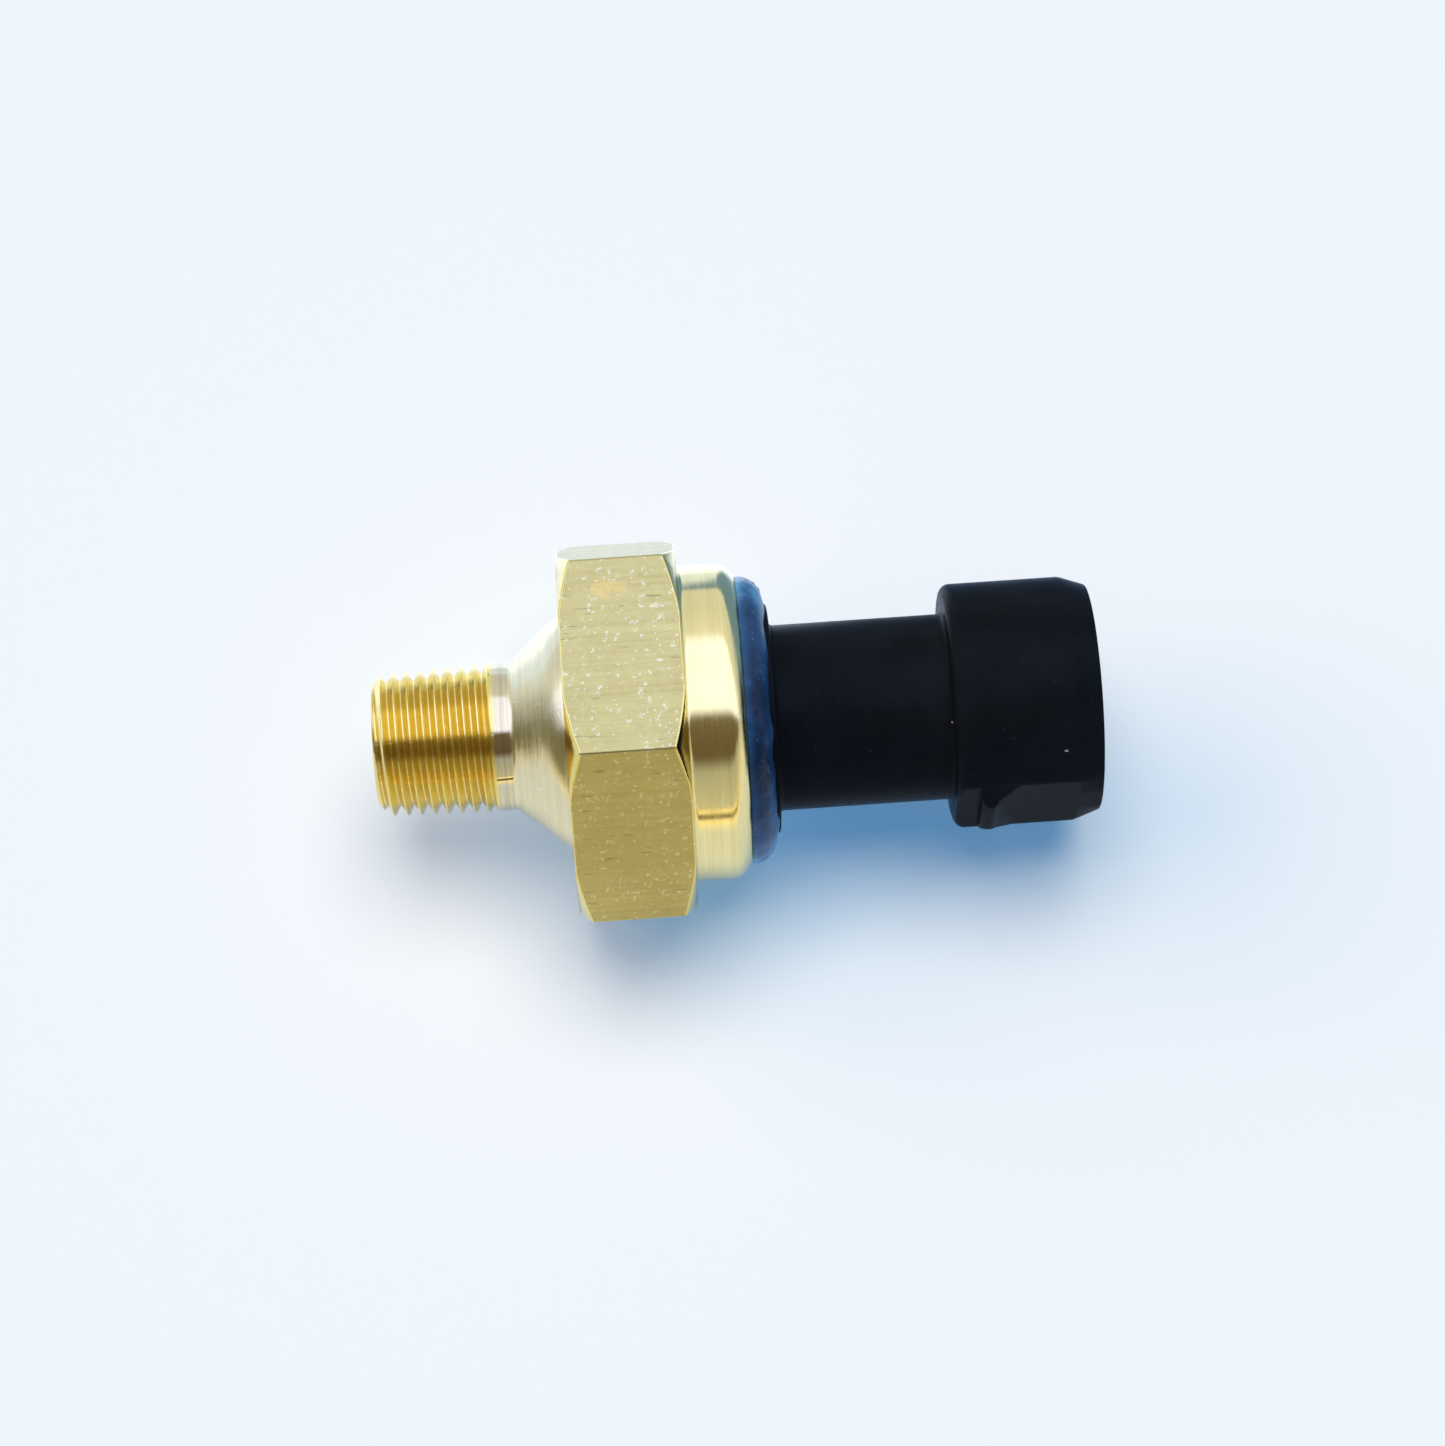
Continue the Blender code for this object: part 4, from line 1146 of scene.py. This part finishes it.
@dataclass
class Connector:
    """The black moulding: hidden flange, boss, neck and round head with its socket, lock and rib."""

    axis: Axis
    sharp_degrees: float = 35.0
    facets: int = 180
    socket_floor: float = 40.45 * MM
    socket_radius: float = 6.9 * MM
    head_radius: float = 8.5 * MM
    lock_flat: float = 7.76 * MM
    lock_width: float = 3.8 * MM
    lock_base_width: float = 6.8 * MM
    lock_start: float = 41.35 * MM
    lock_peak: float = 1.3 * MM
    lock_ramp: float = 1.4 * MM
    lock_height: float = 0.94 * MM
    rib_width: float = 1.2 * MM
    rib_height: float = 0.7 * MM
    rib_end: float = 48.35 * MM
    web_start: float = 36.45 * MM
    blade_circle: float = 2.9 * MM
    slot_width: float = 1.7 * MM
    slot_thickness: float = 1.0 * MM
    nicks: tuple[Point, ...] = ((0.0297, -0.00638, 0.018), (0.0222, -0.0036, 0.0178))
    outline: Outline = (
        (40.45, 0.4), (40.45, 6.9), (49.6, 6.9), (49.85, 7.1), (49.85, 7.85), (48.05, 8.5), (39.75, 8.5),
        (39.75, 6.46), (27.65, 6.46), (27.65, 8.0), (24.08, 8.0), (24.08, 9.5), (23.4, 9.5), (23.4, 5.3),
        (36.45, 5.3), (36.45, 0.4),
    )
    rounds: tuple[tuple[int, float], ...] = (
        (1, 0.3), (3, 0.1), (4, 0.12), (5, 1.2), (6, 0.7), (7, 0.35), (8, 0.4), (9, 0.2),
    )

    def rings(self, angles: np.ndarray) -> list[tuple[float, np.ndarray]]:
        """The moulding's section, cut back at the lock's flat.

        Args:
            angles: Turns about the axis.

        Returns:
            A station and its radii for each ring.
        """
        sizes = {corner: size * MM for corner, size in self.rounds}
        section = rounded(in_metres(self.outline), sizes, steps=7)
        flat = self.lock_flat / np.maximum(-np.cos(angles), 1e-6)
        return [(station, np.minimum(radius, flat)) for station, radius in section]

    def build(self) -> Object:
        """Builds the moulding's mesh.

        Returns:
            The moulding, in the scene.
        """
        skin = Skin(self.axis, even_angles(self.facets))
        rings = self.rings(skin.angles)
        skin.strip(rings, 0)
        skin.strip([rings[-1], rings[0]], 0)
        moulding = skin.object("connector_moulding", self.sharp_degrees)
        self.close_hub(moulding)
        for tool in (self.wedge(), self.rib()):
            self.join(moulding, tool, "UNION")
        for tool in self.slots():
            self.join(moulding, tool, "DIFFERENCE")
        smooth(moulding.data, self.sharp_degrees)
        return moulding

    def close_hub(self, moulding: Object) -> None:
        """Fills the hole along the axis, so that the web is solid.

        Args:
            moulding: The moulding.
        """
        shape = bmesh.new()
        shape.from_mesh(moulding.data)
        hub = [f for f in shape.faces if max(self.off_axis(v) for v in f.verts) < 0.5 * MM]
        bmesh.ops.delete(shape, geom=hub, context="FACES")
        edges = [e for e in shape.edges if e.is_boundary]
        bmesh.ops.holes_fill(shape, edges=edges)
        bmesh.ops.recalc_face_normals(shape, faces=shape.faces)
        shape.to_mesh(moulding.data)
        shape.free()

    def off_axis(self, corner: bmesh.types.BMVert) -> float:
        """How far a corner lies from the axis."""
        return math.hypot(corner.co.y, corner.co.z - self.axis.height)

    @staticmethod
    def join(obj: Object, tool: Object, operation: str) -> None:
        """Adds or cuts another solid, then removes it.

        Args:
            obj: The object to change.
            tool: The other solid.
            operation: UNION or DIFFERENCE.
        """
        step = obj.modifiers.new("join", "BOOLEAN")
        step.operation = operation
        step.solver = "EXACT"
        step.object = tool
        graph = bpy.context.evaluated_depsgraph_get()
        mesh = bpy.data.meshes.new_from_object(obj.evaluated_get(graph))
        obj.modifiers.clear()
        obj.data = mesh
        bpy.data.objects.remove(tool)

    def block(self, corners: list[tuple[float, float]], across: float, flare: float = 0.0,
              bevel: float = 0.0) -> Object:
        """A block drawn out from an outline.

        Args:
            corners: The outline as stations and offsets along Y.
            across: The block's width along Z at the corner furthest from the axis.
            flare: How much each side moves out for each step towards the axis.
            bevel: The width of the bevel along the sides' edges.

        Returns:
            The block as an object.
        """
        shape = bmesh.new()
        face = shape.faces.new([shape.verts.new(self.axis.point(s, y, -across / 2)) for s, y in corners])
        drawn = bmesh.ops.extrude_face_region(shape, geom=[face])
        moved = [item for item in drawn["geom"] if isinstance(item, bmesh.types.BMVert)]
        bmesh.ops.translate(shape, verts=moved, vec=(0, 0, across))
        outermost = max(abs(y) for _, y in corners)
        for corner in shape.verts:
            widen = (outermost - abs(corner.co.y)) * flare
            corner.co.z += math.copysign(widen, corner.co.z - self.axis.height)
        bmesh.ops.recalc_face_normals(shape, faces=shape.faces)
        if bevel > 0:
            sunk = min(abs(y) for _, y in corners) + 0.001 * MM
            sides = [e for e in shape.edges if abs(e.verts[0].co.z - e.verts[1].co.z) < across / 2]
            edges = [e for e in sides if min(abs(v.co.y) for v in e.verts) > sunk]
            bmesh.ops.bevel(shape, geom=edges, offset=bevel, segments=3, affect="EDGES", profile=0.5)
        return solid("block", shape, self.sharp_degrees)

    def wedge(self) -> Object:
        """The lock wedge, with a steep face, a rounded peak, a ramp and sloping sides.

        Returns:
            The wedge as an object.
        """
        sunk = -(self.socket_radius + self.lock_flat) / 2
        peak = self.lock_peak / 2
        middle = self.lock_start + peak
        top = self.lock_flat + self.lock_height - peak
        foot = (self.lock_start + self.lock_peak + self.lock_ramp, -self.lock_flat)
        turns = [math.radians(30 + 150 * i / 12) for i in range(13)]
        rounding = [(middle + peak * math.cos(t), -top - peak * math.sin(t)) for t in turns]
        corners = [(foot[0], sunk), foot, *rounding, (self.lock_start, sunk)]
        flare = (self.lock_base_width - self.lock_width) / 2 / self.lock_height
        return self.block(corners, self.lock_width, flare, 0.13 * MM)

    def rib(self) -> Object:
        """The index rib inside the socket.

        Returns:
            The rib as an object.
        """
        inner = self.socket_radius - self.rib_height
        outer = (self.socket_radius + self.head_radius) / 2
        start = self.socket_floor - 0.3 * MM
        corners = [(start, outer), (self.rib_end, outer), (self.rib_end, inner), (start, inner)]
        return self.block(corners, self.rib_width)

    def slots(self) -> list[Object]:
        """The three slots that the blades pass through.

        Returns:
            The cutting blocks.
        """
        made = []
        for turn in (0, 120, 240):
            y = self.blade_circle * math.cos(math.radians(turn))
            z = self.blade_circle * math.sin(math.radians(turn))
            shape = bmesh.new()
            middle = self.axis.point((self.web_start + self.socket_floor) / 2, y, z)
            length = self.socket_floor - self.web_start + 1.0 * MM
            size = Matrix.Diagonal((length, self.slot_thickness, self.slot_width, 1))
            bmesh.ops.create_cube(shape, size=1.0, matrix=Matrix.Translation(middle) @ size)
            made.append(solid("slot", shape, self.sharp_degrees))
        return made

    def make(self, effects: Effects) -> Object:
        """Builds and dresses the moulding.

        Args:
            effects: The shared node groups.

        Returns:
            The moulding.
        """
        moulding = self.build()
        # The second colour serves for dust marks and for the painted edge highlight.
        finish = MouldedPlastic("nylon_black", (0.0052, 0.007, 0.0115), (0.16, 0.22, 0.32), 0.3, shine=0.02,
                                shine_colour=(0.55, 0.75, 1.0), nicks=self.nicks)
        moulding.data.materials.clear()
        moulding.data.materials.append(finish.make(effects))
        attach(moulding, BODY)
        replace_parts(moulding, "connector_housing")
        return moulding


def slot_name(node: Object, number: int = 0) -> str:
    """The name of the record's material slot that a modelled piece has."""
    material = node.material_slots[number].material
    return material.name.split(".")[0] if material else ""


@dataclass
class Workings:
    """The modelled pieces that stay as they are and only get a finish."""

    effects: Effects
    finishes: dict[str, MachinedMetal | MouldedPlastic] = field(default_factory=lambda: HIDDEN_FINISHES)
    made: dict[str, Material] = field(default_factory=dict)

    def finish(self, slot: str) -> Material:
        """Makes a slot's finish, once.

        Args:
            slot: The name of the material slot.

        Returns:
            The finished material.
        """
        if slot not in self.made:
            self.made[slot] = self.finishes[slot].make(self.effects)
        return self.made[slot]

    def dress(self, replaced: set[str]) -> list[str]:
        """Gives every shown node its finish.

        Args:
            replaced: The nodes that other pieces stand for.

        Returns:
            The names of the nodes that were dressed.
        """
        kept = [name for name in sorted(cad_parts) if name not in replaced]
        for name in kept:
            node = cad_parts[name]
            for number, place in enumerate(node.material_slots):
                place.material = self.finish(slot_name(node, number))
        return kept


@dataclass
class SetSpring:
    """The coil spring under the set nut, which shortens as the piston rises."""

    axis: Axis
    workings: Workings
    wire_radius: float = 0.26 * MM
    turns: int = 3
    steps: int = 108
    facets: int = 12

    def build(self, first: float, last: float, radius: float) -> Object:
        """Sweeps the wire along its helix.

        Args:
            first: Where the wire's middle starts, along X.
            last: Where it ends.
            radius: The coil's radius to the middle of the wire.

        Returns:
            The spring, in the scene.
        """
        shape = bmesh.new()
        winding = FULL_TURN * self.turns
        rings = []
        for share in np.linspace(0, 1, self.steps + 1):
            turn = winding * share
            out = Vector((0.0, math.cos(turn), math.sin(turn)))
            run = Vector((last - first, -out.z * radius * winding, out.y * radius * winding)).normalized()
            side = run.cross(out)
            middle = Vector((first + (last - first) * share, 0.0, self.axis.height)) + out * radius
            ring = [middle + (out * math.cos(a) + side * math.sin(a)) * self.wire_radius
                    for a in even_angles(self.facets)]
            rings.append([shape.verts.new(point) for point in ring])
        for near, far in zip(rings, rings[1:]):
            for i in range(self.facets):
                j = (i + 1) % self.facets
                shape.faces.new((near[i], near[j], far[j], far[i]))
        for end in (rings[0], rings[-1]):
            shape.faces.new(end)
        bmesh.ops.recalc_face_normals(shape, faces=shape.faces)
        return solid("coil_spring", shape, sharp_degrees=50)

    def make(self) -> Object:
        """Builds and dresses the spring.

        Returns:
            The spring.
        """
        low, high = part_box("set_spring")
        radius = (high[2] - low[2]) / 2 - self.wire_radius
        spring = self.build(low[0] + self.wire_radius, high[0] - self.wire_radius, radius)
        slot = slot_name(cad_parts["set_spring"])
        spring.data.materials.append(self.workings.finish(slot))
        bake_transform(spring)
        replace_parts(spring, "set_spring")
        return spring


@dataclass
class PushPin:
    """The insulating pin, whose domed end rolls against the contact arm as the arm swings."""

    axis: Axis
    workings: Workings
    dome: float = 0.1 * MM

    def make(self) -> Object:
        """Builds and dresses the pin.

        Returns:
            The pin.
        """
        low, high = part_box("push_pin")
        radius = (high[2] - low[2]) / 2
        start, end = low[0] - self.axis.start, high[0] - self.axis.start
        tip = [(end - self.dome * share**2, radius * share) for share in np.linspace(1, 0, 7)]
        skin = Skin(self.axis, even_angles(48))
        skin.strip([(start, 0.0), (start, radius), *tip], 0)
        pin = skin.object("domed_pin", sharp_degrees=40)
        slot = slot_name(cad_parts["push_pin"])
        pin.data.materials.append(self.workings.finish(slot))
        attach(pin, "plunger")
        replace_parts(pin, "push_pin")
        return pin


@dataclass(frozen=True)
class Lamp:
    """A broad distant lamp that lights matt surfaces only."""

    name: str
    strength: float
    colour: Colour
    width: float
    lean_x: float = 0.0
    lean_y: float = 0.0

    def make(self) -> None:
        """Hangs the lamp, which fills its width in degrees of the sky and leans in radians from overhead."""
        data = bpy.data.lights.new(self.name, "SUN")
        data.energy = self.strength
        data.color = self.colour
        data.angle = math.radians(self.width)
        lamp = bpy.data.objects.new(self.name, data)
        lamp.rotation_euler = (self.lean_x, self.lean_y, 0.0)
        lamp.visible_glossy = False
        bpy.context.scene.collection.objects.link(lamp)


@dataclass
class Studio:
    """The pale floor, the soft light, the camera and the room that shiny surfaces reflect.

    A zone is a place on the floor where its reflected look starts to change and one where it has changed.
    """

    lamps: tuple[Lamp, ...] = (
        Lamp("key", 2.1, (1.0, 0.93, 0.79), 44, -0.15, 0.03),
        Lamp("side", 1.42, (1.0, 0.62, 0.28), 56, -0.23, -0.872),
        Lamp("fill", 0.42, (0.3, 0.72, 1.0), 175),
    )
    floor_size: float = 12.0
    floor_drop: float = 0.02 * MM
    front_zone: tuple[float, float] = (-0.05, -0.1)
    back_zone: tuple[float, float] = (0.0, 0.03)
    near_zone: tuple[float, float] = (0.05, 0.045)
    strip_zone: tuple[float, float] = (-0.125, -0.135)
    past_strip_zone: tuple[float, float] = (-0.27, -0.26)
    beside_zone: tuple[float, float] = (0.012, 0.018)
    floor_colour: Colour = (0.8, 0.81, 0.82)
    beside_colour: Colour = (0.18, 0.32, 0.6)
    warm_colour: Colour = (0.96, 0.97, 0.72)
    dark_colour: Colour = (0.08, 0.06, 0.03)
    floor_glow: Colour = (0.075, 0.2, 0.38)
    near_glow: Colour = (0.55, 0.8, 1.3)
    back_glow: Colour = (0.18, 0.42, 0.85)
    beside_glow: Colour = (0.0, 0.04, 0.12)
    front_glow: Colour = (0.45, 0.33, 0.16)
    background: Colour = (0.84, 0.9, 0.95)
    end_wall: Colour = (0.22, 0.2, 0.1)
    end_wall_direction: Point = (-0.97, -0.22, -0.02)
    end_wall_zone: tuple[float, float] = (0.74, 0.94)
    room: tuple[tuple[float, Colour], ...] = (
        (-180, (0.5, 0.5, 0.5)), (-95, (0.85, 0.88, 0.92)), (-70, (0.82, 0.85, 0.89)),
        (-44, (0.95, 0.98, 1.0)), (-37, (1.45, 1.55, 2.1)), (14, (1.45, 1.55, 2.1)), (20, (0.2, 0.16, 0.1)),
        (50, (0.16, 0.12, 0.07)), (60, (0.53, 0.54, 0.5)), (88, (0.72, 0.7, 0.6)), (95, (0.5, 0.46, 0.36)),
        (180, (0.5, 0.5, 0.5)),
    )
    eye: Point = (0.00071, -0.11670, 0.27542)
    right: Point = (0.99749943, -0.07016206, -0.00849581)
    up: Point = (0.06757136, 0.91155549, 0.40558686)
    forward: Point = (0.02071241, 0.40514674, -0.91401702)
    lens: float = 102.92
    sensor: float = 36.0
    nearest: float = 10 * MM

    def make(self) -> None:
        """Sets up the floor, lights, surroundings and camera."""
        self.floor()
        for lamp in self.lamps:
            lamp.make()
        self.surroundings()
        self.camera()
        bpy.context.scene.view_settings.view_transform = "Standard"

    def floor(self) -> None:
        """Lays the floor just under the object, with zones that only a reflection shows."""
        shape = bmesh.new()
        bmesh.ops.create_grid(shape, x_segments=8, y_segments=8, size=self.floor_size / 2)
        floor = solid("floor", shape, sharp_degrees=30)
        floor.location.z = -self.floor_drop
        material, w, shader = blank_material("pale_floor")
        x, y, _ = w.parts(w.here())
        mirrored = w.add("LightPath").outputs["Is Glossy Ray"]
        front = w.times(w.spread(y, *self.front_zone), mirrored)
        back = w.times(w.spread(y, *self.back_zone), mirrored)
        near = w.spread(y, *self.near_zone)
        strip = w.times(w.spread(y, *self.strip_zone), w.spread(y, *self.past_strip_zone))
        beside = w.times(back, w.spread(x, *self.beside_zone))
        warm = w.mix(strip, opaque(self.warm_colour), opaque(self.dark_colour))
        base = w.mix(beside, opaque(self.floor_colour), opaque(self.beside_colour))
        behind = w.mix(near, opaque(self.back_glow), opaque(self.near_glow))
        ahead = w.mix(strip, opaque(self.front_glow), opaque((0.0, 0.0, 0.0)))
        glows = [(back, behind), (beside, opaque(self.beside_glow)), (front, ahead)]
        w.fill(shader, {
            "Base Color": w.mix(front, base, warm),
            "Emission Color": w.coats(opaque(self.floor_glow), glows),
            "Emission Strength": 1.0,
            "Roughness": 0.9,
            "Specular IOR Level": 0.0,
        })
        floor.data.materials.append(material)

    def surroundings(self) -> None:
        """Makes the room: its colours by the angle from straight overhead, and its darker end wall."""
        world = bpy.data.worlds.new("studio")
        bpy.context.scene.world = world
        world.use_nodes = True
        w = Wiring(world.node_tree)
        direction = w.add("TexCoord").outputs["Generated"]
        _, y, z = w.parts(direction)
        turn = w.math("ARCTAN2", w.times(y, -1.0), z)
        ramp = w.add("ValToRGB", {0: w.spread(turn, -math.pi, math.pi)})
        elements = ramp.color_ramp.elements
        elements.remove(elements[1])
        for number, (angle, colour) in enumerate(self.room):
            place = (angle + 180) / 360
            element = elements[0] if number == 0 else elements.new(place)
            element.position = place
            element.color = opaque(colour)
        facing = w.vector("DOT_PRODUCT", direction, self.end_wall_direction).outputs["Value"]
        room = w.mix(w.spread(facing, *self.end_wall_zone), ramp.outputs[0], opaque(self.end_wall))
        seen = w.add("LightPath").outputs["Is Camera Ray"]
        colour = w.mix(seen, room, opaque(self.background))
        w.feed(world.node_tree.nodes["Background"].inputs["Color"], colour)
        world.cycles_visibility.diffuse = False

    def camera(self) -> None:
        """Sets the camera at its place."""
        data = bpy.data.cameras.new("camera")
        data.lens = self.lens
        data.sensor_width = self.sensor
        data.clip_start = self.nearest
        camera = bpy.data.objects.new("camera", data)
        columns = [Vector(self.right), Vector(self.up), -Vector(self.forward)]
        turn = Matrix(columns).transposed().to_4x4()
        camera.matrix_world = Matrix.Translation(self.eye) @ turn
        bpy.context.scene.collection.objects.link(camera)
        bpy.context.scene.camera = camera


def main() -> None:
    """Builds every sub-assembly in order, finishes the modelled pieces that stay, and sets up the studio."""
    logging.basicConfig(level=logging.INFO, format="%(name)s: %(message)s")
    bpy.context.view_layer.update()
    low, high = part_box("switch_body")
    axis = Axis(start=low[0], height=(low[2] + high[2]) / 2)
    effects = Effects(axis.height)
    replaced = set()
    for assembly in (BrassBody(axis), SealantRing(axis), Connector(axis)):
        piece = assembly.make(effects)
        replaced.update(piece["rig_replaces"])
        LOG.info("%s: %d faces", piece.name, len(piece.data.polygons))
    workings = Workings(effects)
    for moving in (SetSpring(axis, workings), PushPin(axis, workings)):
        piece = moving.make()
        replaced.update(piece["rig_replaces"])
        LOG.info("%s: %d faces", piece.name, len(piece.data.polygons))
    for name in workings.dress(replaced):
        LOG.info("%s: finished", name)
    Studio().make()
    LOG.info("floor, light and camera are in place")


if __name__ == "__main__":
    main()
